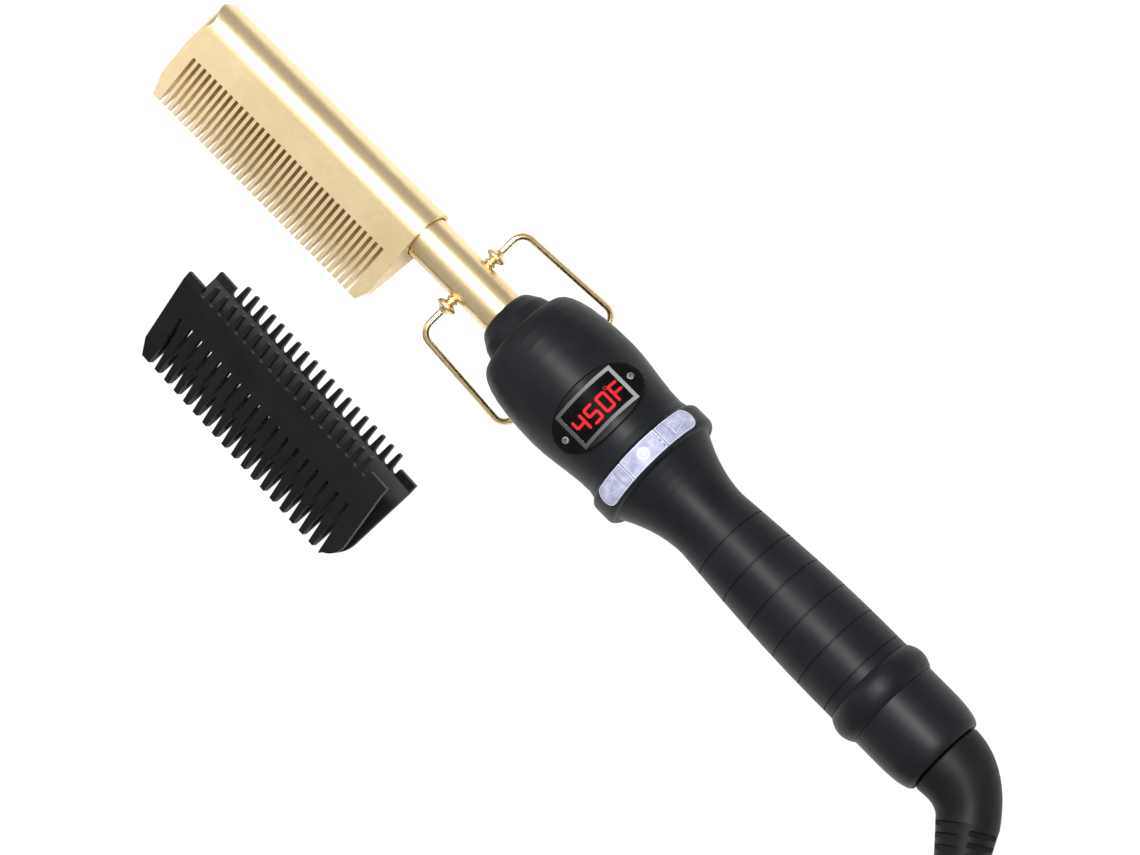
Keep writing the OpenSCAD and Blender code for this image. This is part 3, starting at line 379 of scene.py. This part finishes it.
brass = metal("bright_brass", (0.66, 0.50, 0.20), (0.78, 0.60, 0.27), 0.24, grain=1500)
strap = plastic("tie_strap", (0.010, 0.010, 0.010), (0.022, 0.022, 0.022), 0.7, grain=1500, strength=0.6,
                edge=0.0002)


def give(material, *names):
    for n in names:
        data = nodes[n].data
        data.materials.clear()
        data.materials.append(material)


give(gold, "comb_head", "barrel_sleeve", "heater_tube")
give(gold_wire, "stand_bail", "stand_collars")
give(soft_touch, "nose_collar", "upper_shell", "lower_shell", "rear_ring")
give(smooth_black, "end_cap", "pivot_bushing")
give(rubber, "swivel_neck", "cord_boot", "plug_body")
give(inner_white, "display_module", "power_module", "key_bracket", "tact_switches", "brush_block")
give(board_mat, "main_board")
give(ceramic, "ptc_heater", "thermistor")
give(steel, "case_screws")
give(screw_head, "lens_screws")
give(brass, "slip_rings", "plug_blades")
give(strap, "coil_tie")
give(guard_mat, "comb_guard")
lead.data.materials.append(cord_rubber)


def tool_axis(nt, axis, low, high):
    """0 to 1 between two stations along an axis of the tool frame, in mm."""
    c = node(nt, "ShaderNodeTexCoord")
    d = tool_dir(*[(1, 0, 0), (0, 1, 0), (0, 0, 1)][axis])
    dot = node(nt, "ShaderNodeVectorMath", operation="DOT_PRODUCT")
    nt.links.new(c.outputs["Object"], dot.inputs[0])
    dot.inputs[1].default_value = d
    m = node(nt, "ShaderNodeMapRange")
    o = (SHIFT * MM).dot(d)
    m.inputs["From Min"].default_value = o + low * MM
    m.inputs["From Max"].default_value = o + high * MM
    nt.links.new(dot.outputs["Value"], m.inputs["Value"])
    return m.outputs["Result"]


def lens_material():
    m, nt, b = new_material("dark_lens_painted_reflection")
    # painted reflection: the lens is lighter in crescents near both of its ends along the handle, strongest
    # across its middle; these stand in for reflections on the curved glass
    f = tool_axis(nt, 0, DISPLAY_X - 8.9, DISPLAY_X + 8.9)
    g = ramp(nt, f, [(0.0, grey(0.014)), (0.13, grey(0.009)), (0.2, grey(0.004)),
                     (0.8, grey(0.003)), (0.88, grey(0.010)), (1.0, grey(0.026))])
    across = tool_axis(nt, 1, -16.5, 16.5)
    side = ramp(nt, across, [(0.08, grey(0.0)), (0.4, grey(1.0)), (0.6, grey(1.0)), (0.95, grey(0.0))])
    mix = node(nt, "ShaderNodeMixRGB", blend_type="MIX")
    nt.links.new(side, mix.inputs["Fac"])
    mix.inputs["Color1"].default_value = (0.003, 0.003, 0.0032, 1)
    nt.links.new(g, mix.inputs["Color2"])
    nt.links.new(mix.outputs["Color"], b.inputs["Base Color"])
    dust = noise_tex(nt, coords(nt), 260, 4)
    nt.links.new(spread(nt, dust, 0.24, 0.32), b.inputs["Roughness"])
    b.inputs["Specular IOR Level"].default_value = 0.05
    nt.links.new(bump(nt, dust, 0.05, 0.01 * MM, rounded_edges(nt, 0.0003)), b.inputs["Normal"])
    return m


def bezel_material():
    m, nt, b = new_material("display_frame_painted_reflection")
    # painted reflection: the frame goes from dark grey to light grey towards +Y, standing in for its
    # reflection
    f = tool_axis(nt, 1, -11.5, 11.5)
    tone = ramp(nt, f, [(0.0, grey(0.040)), (0.5, grey(0.085)), (1.0, grey(0.20))])
    nt.links.new(tone, b.inputs["Base Color"])
    fine = noise_tex(nt, coords(nt), 4200, 2)
    nt.links.new(spread(nt, fine, 0.44, 0.54), b.inputs["Roughness"])
    b.inputs["Specular IOR Level"].default_value = 0.12
    nt.links.new(bump(nt, fine, 0.2, 0.01 * MM, rounded_edges(nt, 0.0003)), b.inputs["Normal"])
    return m


def screen_material():
    m, nt, b = new_material("dark_screen")
    fine = noise_tex(nt, coords(nt), 700, 3)
    tone = tint(nt, fine, (0.0022, 0.0022, 0.0026), (0.0034, 0.0034, 0.0038))
    nt.links.new(tone, b.inputs["Base Color"])
    nt.links.new(spread(nt, fine, 0.3, 0.38), b.inputs["Roughness"])
    b.inputs["Specular IOR Level"].default_value = 0.02
    nt.links.new(bump(nt, fine, 0.05, 0.005 * MM), b.inputs["Normal"])
    return m


def lit_material(name, colour, glow, strength):
    m, nt, b = new_material(name)
    fine = noise_tex(nt, coords(nt), 2600, 2)
    tone = tint(nt, fine, tuple(c * 0.92 for c in colour), colour)
    nt.links.new(tone, b.inputs["Base Color"])
    nt.links.new(spread(nt, fine, 0.35, 0.45), b.inputs["Roughness"])
    b.inputs["Specular IOR Level"].default_value = 0.02
    b.inputs["Emission Color"].default_value = (*glow, 1)
    b.inputs["Emission Strength"].default_value = strength
    return m


def key_material():
    m, nt, b = new_material("frosted_key")
    v = coords(nt)
    cloud = noise_tex(nt, v, 330, 5, 0.65)
    cells = node(nt, "ShaderNodeTexVoronoi", feature="F1", distance="CHEBYCHEV")
    cells.inputs["Scale"].default_value = 300
    nt.links.new(v, cells.inputs["Vector"])
    mix = node(nt, "ShaderNodeMixRGB", blend_type="MIX")
    mix.inputs["Fac"].default_value = 0.35
    nt.links.new(cloud, mix.inputs["Color1"])
    nt.links.new(cells.outputs["Distance"], mix.inputs["Color2"])
    col = ramp(nt, mix.outputs["Color"], [
        (0.25, (0.17, 0.18, 0.26)), (0.45, (0.26, 0.27, 0.37)), (0.7, (0.42, 0.43, 0.53)),
    ])
    nt.links.new(col, b.inputs["Base Color"])
    nt.links.new(spread(nt, cloud, 0.3, 0.42), b.inputs["Roughness"])
    b.inputs["Specular IOR Level"].default_value = 0.14
    b.inputs["Subsurface Weight"].default_value = 0.15
    b.inputs["Subsurface Radius"].default_value = (0.002, 0.002, 0.002)
    nt.links.new(bump(nt, cloud, 0.25, 0.06 * MM, rounded_edges(nt, 0.0005)), b.inputs["Normal"])
    return m


lens_mat, bezel_mat = lens_material(), bezel_material()
screen_mat, key_mat = screen_material(), key_material()
digit_mat = lit_material("lit_segment", (0.20, 0.006, 0.008), (1.0, 0.024, 0.034), 0.72)
dim_mat = lit_material("dim_halo", (0.10, 0.008, 0.008), (0.5, 0.02, 0.02), 0.06)
degree_mat = lit_material("dim_mark", (0.20, 0.02, 0.02), (0.6, 0.05, 0.05), 0.14)
# painted highlight: a lighter copy of the frosted key colour, for the bright lines along the key edges and
# the arrow outlines
painted_highlight_mat = plastic("key_rim_clear_painted_highlight", (0.42, 0.43, 0.53), (0.54, 0.55, 0.65), 0.24, spec=0.3, grain=900,
                  strength=0.1, edge=0.0002)
# painted shade: a darker copy of the frosted key colour, for the dark lines inside the key edges, along the
# arrows and round the windows
painted_shade_mat = plastic("key_painted_shade", (0.14, 0.14, 0.20), (0.20, 0.20, 0.27), 0.3, grain=900, strength=0.1,
                    edge=0)
sign_mat = plastic("power_sign_clear", (0.36, 0.37, 0.47), (0.44, 0.45, 0.55), 0.3, grain=900,
                   strength=0.05, edge=0, spec=0.07)
dot_mat = plastic("key_dot", (0.05, 0.05, 0.07), (0.08, 0.08, 0.11), 0.4, grain=900, edge=0)
ring_mat = plastic("screw_rim_grey", (0.22, 0.22, 0.23), (0.28, 0.28, 0.29), 0.45, grain=900, edge=0,
                   spec=0.08)
give(lens_mat, "display_lens")
give(bezel_mat, "display_bezel")
give(screen_mat, "display_screen")
give(key_mat, "power_key", "up_key", "down_key")


# ---------------------------------------------------------------- pieces built here
def closed_piece(name, verts, faces, material, degrees):
    """A closed mesh with its faces turned outwards, its material and its sharp edges."""
    o = mesh_object(name, verts, faces)
    bm = bmesh.new()
    bm.from_mesh(o.data)
    bmesh.ops.recalc_face_normals(bm, faces=bm.faces)
    bm.to_mesh(o.data)
    bm.free()
    o.data.materials.append(material)
    return sharp(o, degrees)


UNDER, LEAN = -0.05, 0.25


def ribbons(name, strips, place, top, material, closed=False):
    """Low flat-topped ridges on a curved face, rising from UNDER it to the height top, in mm.
    A strip is a list of (a, b, across_a, across_b, half width)."""
    verts, faces = [], []
    for strip in strips:
        first, n = len(verts), len(strip)
        for a, b, na, nb, h in strip:
            in_h = max(h - LEAN * (top - UNDER), h * 0.4)
            for w, lift in ((-h, UNDER), (-in_h, top), (in_h, top), (h, UNDER)):
                verts.append(place(a + na * w, b + nb * w, lift))
        for i in range(n if closed else n - 1):
            p, q = first + 4 * i, first + 4 * ((i + 1) % n)
            for k in range(4):
                faces.append((p + k, p + (k + 1) % 4, q + (k + 1) % 4, q + k))
        if not closed:
            faces.append((first, first + 3, first + 2, first + 1))
            faces.append(tuple(first + 4 * (n - 1) + k for k in range(4)))
    return closed_piece(name, verts, faces, material, 25)


TIP = 0.02


def line_strip(p, q, half, steps, point):
    """A straight strip whose ends both narrow to a point over that length."""
    (a0, b0), (a1, b1) = p, q
    length = math.hypot(a1 - a0, b1 - b0)
    ua, ub = (a1 - a0) / length, (b1 - b0) / length
    full = [point + (length - 2 * point) * i / steps for i in range(1, steps)]
    stations = [(0.0, TIP)] + [(s, half) for s in [point] + full + [length - point]] + [(length, TIP)]
    return [(a0 + ua * s, b0 + ub * s, -ub, ua, width) for s, width in stations]


def circle(a, b, radius, count):
    return [(a + radius * math.cos(2 * math.pi * i / count), b + radius * math.sin(2 * math.pi * i / count))
            for i in range(count)]


def loop_strip(points, half, step=0.35):
    """A closed strip along a polygon's outline, with its corners cut evenly."""
    out = []
    n = len(points)
    for i in range(n):
        (a0, b0), (a1, b1) = points[i], points[(i + 1) % n]
        length = math.hypot(a1 - a0, b1 - b0)
        m = max(1, round(length / step))
        out += [(a0 + (a1 - a0) * k / m, b0 + (b1 - b0) * k / m) for k in range(m)]
    strip = []
    for i, (a, b) in enumerate(out):
        (pa, pb), (qa, qb) = out[i - 1], out[(i + 1) % len(out)]
        u, v = Vector((a - pa, b - pb)).normalized(), Vector((qa - a, qb - b)).normalized()
        t = (u + v).normalized()
        grow = min(1.6, 1 / max(0.3, t.dot(u)))
        strip.append((a, b, -t.y * grow, t.x * grow, half))
    return strip


def finish_piece(o, body):
    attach(o, body)


# -- the lit digits on the screen: a is the reading direction, b points down the digit
LENS_R = 23.5
LENS_Z = 20.833 - LENS_R
SCREEN_R = LENS_R - 0.1
DEGREE_AT = (5.7, -2.1)
DIGIT_W, DIGIT_H, STROKE, BREAK = 4.0, 6.3, 0.94, -0.26
SEGMENTS = {"4": "fgbc", "5": "afgcd", "0": "abcdef", "F": "aefg"}
READOUT = [("4", -7.1, 0.9), ("5", -2.2, 1.1), ("0", 2.85, 1.05), ("F", 7.9, 1.05)]


def on_display_curve(radius):
    def place(a, b, lift):
        return tool(DISPLAY_X + b, a, LENS_Z + math.sqrt((radius + lift) ** 2 - a * a))

    return place


def segment_strips(grow):
    left, right = -DIGIT_W / 2 + STROKE / 2, DIGIT_W / 2 - STROKE / 2
    high, low = -DIGIT_H / 2 + STROKE / 2, DIGIT_H / 2 - STROKE / 2
    ends = {
        "a": ((left, high), (right, high)), "g": ((left, 0), (right, 0)), "d": ((left, low), (right, low)),
        "f": ((left, high), (left, 0)), "e": ((left, 0), (left, low)),
        "b": ((right, high), (right, 0)), "c": ((right, 0), (right, low)),
    }
    strips = []
    for digit, a, b in READOUT:
        for k in SEGMENTS[digit]:
            (a0, b0), (a1, b1) = ends[k]
            length = math.hypot(a1 - a0, b1 - b0)
            ua, ub = (a1 - a0) / length, (b1 - b0) / length
            cut = BREAK - grow
            p = (a + a0 + ua * cut, b + b0 + ub * cut)
            q = (a + a1 - ua * cut, b + b1 - ub * cut)
            strips.append(line_strip(p, q, STROKE / 2 - 0.03 + grow, 5, STROKE / 2 + grow))
    return strips


def on_screen(name, strips, top, material, closed=False):
    piece = ribbons(name, strips, on_display_curve(SCREEN_R), top, material, closed)
    finish_piece(piece, "handle")


on_screen("digit_glow", segment_strips(0.12), 0.02, dim_mat)
on_screen("digits", segment_strips(0.0), 0.06, digit_mat)
on_screen("degree_mark", [loop_strip(circle(*DEGREE_AT, 0.5, 24), 0.16, 1)], 0.05, degree_mat, closed=True)

# -- ridges, bump and signs on the clear keys, coloured with painted highlight and painted shade lines
KEY_X, KEY_R, KEY_HALF = 65.2, 21.9, 3.5
SIDE_ANGLE, POWER_ANGLE, ROW_ANGLE, SPLIT = 38.0, 19.0, 57.0, 0.464


def on_key(angle):
    c, s = math.cos(math.radians(angle)), math.sin(math.radians(angle))

    def place(a, b, lift):
        z = math.sqrt((KEY_R + lift) ** 2 - b * b)
        return tool(KEY_X + a, b * c + z * s, -b * s + z * c)

    return place


def key_outline(side, inset):
    """The outline of a key in its own plan: a along the handle, b round the ring."""
    inner = KEY_R * math.sin(math.radians(ROW_ANGLE - SIDE_ANGLE)) - KEY_HALF
    split = KEY_R * math.sin(math.radians(SIDE_ANGLE - POWER_ANGLE - SPLIT)) - inset
    half = KEY_HALF - inset
    if side == 0:
        end = KEY_R * math.sin(math.radians(POWER_ANGLE - SPLIT)) - inset
        return [(-half, -end), (half, -end), (half, end), (-half, end)]
    arc = [(half * math.cos(t), inner + half * math.sin(t)) for t in [math.pi * i / 16 for i in range(17)]]
    pts = [(-half, -split), (half, -split)] + arc
    return [(a, b * side) for a, b in pts]


def power_sign():
    """A polished dome in a turned ring, as one turned shape."""
    profile = [(0.0, 0.42), (0.5, 0.39), (0.9, 0.28), (1.2, 0.08), (1.34, 0.0),
               (1.62, 0.0), (1.74, 0.12), (1.98, 0.14), (2.14, 0.03), (2.2, -0.1)]
    place = on_key(0)
    verts, faces, sides = [place(0, 0, profile[0][1])], [], 36
    for r, lift in profile[1:]:
        for k in range(sides):
            t = 2 * math.pi * k / sides
            verts.append(place(r * math.cos(t), r * math.sin(t), lift))
    for k in range(sides):
        faces.append((0, 1 + k, 1 + (k + 1) % sides))
    for i in range(len(profile) - 2):
        for k in range(sides):
            a, b = 1 + i * sides + k, 1 + i * sides + (k + 1) % sides
            faces.append((a, a + sides, b + sides, b))
    faces.append(tuple(1 + (len(profile) - 2) * sides + k for k in reversed(range(sides))))
    return closed_piece("power_sign", verts, faces, sign_mat, 50)


def on_a_key(name, key, angle, outlines, half, top, material, step=0.35):
    """Closed ridges on the face of a key, along each outline."""
    strips = [loop_strip(points, half, step) for points in outlines]
    piece = ribbons(name, strips, on_key(angle), top, material, closed=True)
    finish_piece(piece, key + "_button")


def side_word(side):
    return "up" if side > 0 else "down"


def triangle(side, half, base, tip):
    return [(-half, side * base), (half, side * base), (0, side * tip)]


def panel(half, low, high):
    return [(-half, low), (half, low), (half, high), (-half, high)]


for side in (0, 1, -1):
    key, angle = (side_word(side) if side else "power"), side * SIDE_ANGLE
    on_a_key(key + "_key_rim", key, angle, [key_outline(side, 0.2)], 0.13, 0.05, painted_highlight_mat)
    on_a_key(key + "_key_line", key, angle, [key_outline(side, 0.62)], 0.07, 0.02, painted_shade_mat)
    if side:
        window = panel(2.2, side * -5.6, side * -3.4)
        on_a_key(key + "_key_arrow", key, angle, [triangle(side, 1.95, -2.7, 3.3)], 0.12, 0.07, painted_highlight_mat)
        on_a_key(key + "_key_arrow_line", key, angle, [triangle(side, 1.5, -2.4, 2.5)], 0.06, 0.03, painted_shade_mat)
        on_a_key(key + "_key_window", key, angle, [window], 0.05, 0.02, painted_shade_mat)
    else:
        windows = [panel(2.1, s * 2.9, s * 5.9) for s in (-1, 1)]
        on_a_key("power_key_windows", key, angle, windows, 0.06, 0.02, painted_shade_mat)
finish_piece(power_sign(), "power_button")

WEB_GAP = 0.1


def key_web(side):
    """The clear bridge that fills a side key's inner end, up to the power key."""
    place = on_key(side * SIDE_ANGLE)
    start = KEY_R * math.sin(math.radians(ROW_ANGLE - SIDE_ANGLE)) - KEY_HALF
    end = KEY_R * math.sin(math.radians(SIDE_ANGLE - POWER_ANGLE - SPLIT)) - WEB_GAP
    left = [(-KEY_HALF, -1.4), (-KEY_HALF, -0.3), (0.25 - KEY_HALF, -0.03)]
    section = left + [(-a, lift) for a, lift in reversed(left)]
    steps, verts = 8, []
    for i in range(steps + 1):
        b = -side * (start + (end - start) * i / steps)
        verts += [place(a, b, lift) for a, lift in section]
    faces = ring_faces(steps + 1, len(section))
    return closed_piece(side_word(side) + "_key_web", verts, faces, key_mat, 35)


for side in (1, -1):
    finish_piece(key_web(side), side_word(side) + "_button")
dots = [circle(a, 6.45, 0.2, 12) for a in (0.4, 2.3)]
on_a_key("power_key_dots", "power", 0, dots, 0.18, 0.03, dot_mat, step=1)

# -- the bright rims of the two lens screws
SCREW_AT, SCREW_RIM_R = 13.7, 0.86
rims = [loop_strip(circle(s * SCREW_AT, 0, SCREW_RIM_R, 28), 0.22, 1) for s in (-1, 1)]
screw_rims = ribbons("lens_screw_rims", rims, on_display_curve(LENS_R), 0.28, ring_mat, closed=True)
finish_piece(screw_rims, "handle")

# -- the stand's wire and its turned collars
PIVOT_X, STAND_ANGLE, STAND_LENGTH = -15.3, math.radians(32.5447), 41.2825
HALF_FRONT, HALF_REAR, WIRE_BEND = 22.0, 24.7, 4.5


def on_stand(a, b, c=0.0):
    ca, sa = math.cos(STAND_ANGLE), math.sin(STAND_ANGLE)
    return tool(PIVOT_X + a * ca + c * sa, b, -a * sa + c * ca)


def rounded_path(points, radius, steps):
    """The path through the points with each corner bent to that radius, in a plane."""
    pts = [Vector(p) for p in points]
    out = [pts[0]]
    for i in range(1, len(pts) - 1):
        u, v = (pts[i] - pts[i - 1]).normalized(), (pts[i + 1] - pts[i]).normalized()
        turn = math.atan2(u.x * v.y - u.y * v.x, u.dot(v))
        side = 1 if turn > 0 else -1
        start = pts[i] - u * radius * math.tan(abs(turn) / 2)
        centre = start + Vector((-u.y, u.x)) * radius * side
        base = math.atan2(start.y - centre.y, start.x - centre.x)
        angles = [base + turn * k / steps for k in range(steps + 1)]
        out += [centre + Vector((math.cos(a), math.sin(a))) * radius for a in angles]
    out.append(pts[-1])
    return out


def turned(name, profile, place, material):
    """A turned piece: profile is (distance along the axis, radius); place maps (along, x, y)."""
    verts, sides = [], 36
    for along, r in profile:
        for k in range(sides):
            t = 2 * math.pi * k / sides
            verts.append(place(along, r * math.cos(t), r * math.sin(t)))
    return closed_piece(name, verts, ring_faces(len(profile), sides), material, 40)


WIRE_R, WIRE_START = 1.04, 12.2
half_wire = [(0, WIRE_START), (0, HALF_FRONT), (STAND_LENGTH, HALF_REAR)]
corners = half_wire + [(a, -b) for a, b in reversed(half_wire)]
line = rounded_path(corners, WIRE_BEND, 18)
wire = tube("stand_wire", [on_stand(p.x, p.y) for p in line], WIRE_R * MM, 24)
wire.data.materials.append(gold_wire)
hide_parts("stand_bail")
finish_piece(wire, "bail")
COLLAR = [
    (5.2, 1.1), (7.4, 1.12), (7.5, 1.5), (7.7, 1.8), (8.0, 1.95), (8.3, 1.95), (8.55, 1.8), (8.75, 1.5),
    (9.0, 1.4), (9.3, 1.5), (9.55, 1.9), (9.8, 2.5), (10.05, 2.95), (10.35, 3.22), (10.7, 3.32),
    (11.05, 3.28), (11.35, 3.08), (11.6, 2.7), (11.8, 2.2), (12.05, 1.8), (12.4, 1.5), (12.8, 1.25),
    (13.1, 1.1),
]


def stand_collar(word, side):
    def place(along, x, y):
        return on_stand(x, side * along, y)

    return turned("stand_collar_" + word, COLLAR, place, gold_wire)


for side, word in ((1, "upper"), (-1, "lower")):
    collar = stand_collar(word, side)
    if side > 0:
        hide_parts("stand_collars")
    finish_piece(collar, "bail")

# -- the boot with its bent root and slotted strain relief
BOOT_X, BOOT_BEND, BOOT_ANGLE, BOOT_STRAIGHT = 189.9, 22.0, 55.0, 0.5
BOOT_R, BOOT_MID, BOOT_TIP, RELIEF = 12.4, 9.6, 4.8, 40.0
RELIEF_PITCH, RELIEF_CUT, RELIEF_SPINE, RELIEF_COUNT = 3.47826, 1.5, 36.0, 10
BOOT_ARC = BOOT_BEND * math.radians(BOOT_ANGLE)
BOOT_BENT = BOOT_STRAIGHT + BOOT_ARC
# the slots of one pair of sides lie between those of the other pair
RELIEF_SHIFTS = (0.25, 0.75)
BOOT_LIP, LIP_STEPS, LIP_CLEAR = 0.7, (0.06, 0.18, 0.35, 0.55), 0.8


def boot_point(s):
    a = min(max(s - BOOT_STRAIGHT, 0), BOOT_ARC) / BOOT_BEND
    over = max(0, s - BOOT_BENT)
    x = BOOT_X + min(s, BOOT_STRAIGHT) + BOOT_BEND * math.sin(a) + over * math.cos(a)
    y = -BOOT_BEND * (1 - math.cos(a)) - over * math.sin(a)
    return x, y, a


def boot_radius(s):
    if s < BOOT_BENT:
        r = BOOT_R + (BOOT_MID - BOOT_R) * ease(s / BOOT_BENT)
    else:
        r = BOOT_MID + (BOOT_TIP - BOOT_MID) * ((s - BOOT_BENT) / RELIEF) ** 0.9
    from_end = min(s, max(0.0, BOOT_BENT + RELIEF - s))
    if from_end < BOOT_LIP:
        r -= BOOT_LIP * (1 - math.sqrt(max(0.0, 1 - (1 - from_end / BOOT_LIP) ** 2)))
    return r


def relief_depth(s, theta):
    """The floor of a relief slot at that place, as a radius, or None outside the slots."""
    for quarter in range(4):
        alpha = math.radians(90 * quarter + 45)
        offset = (theta - math.atan2(math.cos(alpha), -math.sin(alpha)) + math.pi) % (2 * math.pi) - math.pi
        if abs(offset) >= math.radians(RELIEF_SPINE):
            continue
        for i in range(RELIEF_COUNT):
            c = BOOT_BENT + RELIEF_PITCH * (i + RELIEF_SHIFTS[quarter % 2])
            if abs(s - c) < RELIEF_CUT / 2:
                return boot_radius(c) * math.cos(math.radians(RELIEF_SPINE)) / math.cos(offset)
    return None


def boot_stations():
    """Distances along the boot, close together at both lips and at the edges of the slots."""
    bent_steps, edge, end = 26, 0.04, BOOT_BENT + RELIEF
    out = [0, *LIP_STEPS, LIP_CLEAR]
    out += [LIP_CLEAR + (BOOT_BENT - LIP_CLEAR) * i / bent_steps for i in range(1, bent_steps + 1)]
    cuts = set()
    for i in range(RELIEF_COUNT):
        for shift in RELIEF_SHIFTS:
            c = BOOT_BENT + RELIEF_PITCH * (i + shift)
            for d in (-1, 1):
                cuts.add(round(c + d * (RELIEF_CUT / 2 + edge), 4))
                cuts.add(round(c + d * (RELIEF_CUT / 2 - edge), 4))
            cuts.add(round(c, 4))
    out += sorted(c for c in cuts if c < end - LIP_CLEAR)
    return out + [end - d for d in (0.75, *reversed(LIP_STEPS), 0)]


def build_boot():
    sides, verts = 120, []
    stations = boot_stations()
    for s in stations:
        x, y, a = boot_point(s)
        r0 = boot_radius(s)
        for k in range(sides):
            theta = 2 * math.pi * k / sides
            floor = relief_depth(s, theta)
            r = r0 if floor is None else min(r0, floor)
            side, up = r * math.cos(theta), r * math.sin(theta)
            verts.append(tool(x + side * math.sin(a), y + side * math.cos(a), up))
    return closed_piece("cord_boot_moulded", verts, ring_faces(len(stations), sides), rubber, 38)


boot = build_boot()
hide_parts("cord_boot")
finish_piece(boot, "swivel")


# ---------------------------------------------------------------- studio
WORLD = 0.42
FLOOR_GLOW, FLOOR_SEEN = 1.1, 0.9


def white_world():
    """A dim white light from all sides that the camera sees as full white."""
    world = bpy.data.worlds.new("studio")
    bpy.context.scene.world = world
    world.use_nodes = True
    nt = world.node_tree
    nt.nodes.clear()
    out = node(nt, "ShaderNodeOutputWorld")
    dim, white = node(nt, "ShaderNodeBackground"), node(nt, "ShaderNodeBackground")
    dim.inputs["Color"].default_value = (1, 1, 1, 1)
    dim.inputs["Strength"].default_value = WORLD
    white.inputs["Color"].default_value = (1, 1, 1, 1)
    white.inputs["Strength"].default_value = 1.0
    path = node(nt, "ShaderNodeLightPath")
    mix = node(nt, "ShaderNodeMixShader")
    nt.links.new(path.outputs["Is Camera Ray"], mix.inputs["Fac"])
    nt.links.new(dim.outputs[0], mix.inputs[1])
    nt.links.new(white.outputs[0], mix.inputs[2])
    nt.links.new(mix.outputs[0], out.inputs[0])


def white_floor():
    """A table that the camera sees as nearly white, with soft shadows on it."""
    floor = mesh_object("floor", [(-3, -3, 0), (3, -3, 0), (3, 3, 0), (-3, 3, 0)], [(0, 1, 2, 3)])
    floor.location.z = -0.2 * MM
    m = bpy.data.materials.new("white_floor")
    m.use_nodes = True
    nt = m.node_tree
    nt.nodes.clear()
    out = node(nt, "ShaderNodeOutputMaterial")
    matt = node(nt, "ShaderNodeBsdfDiffuse")
    matt.inputs["Color"].default_value = (0.6, 0.6, 0.6, 1)
    glow = node(nt, "ShaderNodeEmission")
    glow.inputs["Strength"].default_value = FLOOR_GLOW
    path = node(nt, "ShaderNodeLightPath")
    seen = node(nt, "ShaderNodeMath", operation="MULTIPLY")
    seen.inputs[1].default_value = FLOOR_SEEN
    nt.links.new(path.outputs["Is Camera Ray"], seen.inputs[0])
    mix = node(nt, "ShaderNodeMixShader")
    nt.links.new(seen.outputs[0], mix.inputs["Fac"])
    nt.links.new(matt.outputs[0], mix.inputs[1])
    nt.links.new(glow.outputs[0], mix.inputs[2])
    nt.links.new(mix.outputs[0], out.inputs[0])
    floor.data.materials.append(m)


def softbox(name, at, look, size, power):
    data = bpy.data.lights.new(name, "AREA")
    data.shape = "RECTANGLE"
    data.size, data.size_y = size
    data.energy = power
    o = bpy.data.objects.new(name, data)
    bpy.context.scene.collection.objects.link(o)
    p, q = Vector(at), Vector(look)
    z = (p - q).normalized()
    x = tool_dir(1, 0, 0)
    x = (x - z * x.dot(z)).normalized()
    y = z.cross(x)
    o.matrix_world = Matrix.Translation(p) @ Matrix((x, y, z)).transposed().to_4x4()


bpy.context.scene.view_settings.view_transform = "Standard"
white_world()
white_floor()
softbox("key_light", (0.02, 0.10, 1.1), (0.02, 0.03, 0), (1.3, 0.2), 26)
softbox("left_light", (-0.9, -0.5, 0.8), (0, 0, 0), (0.7, 0.7), 2)
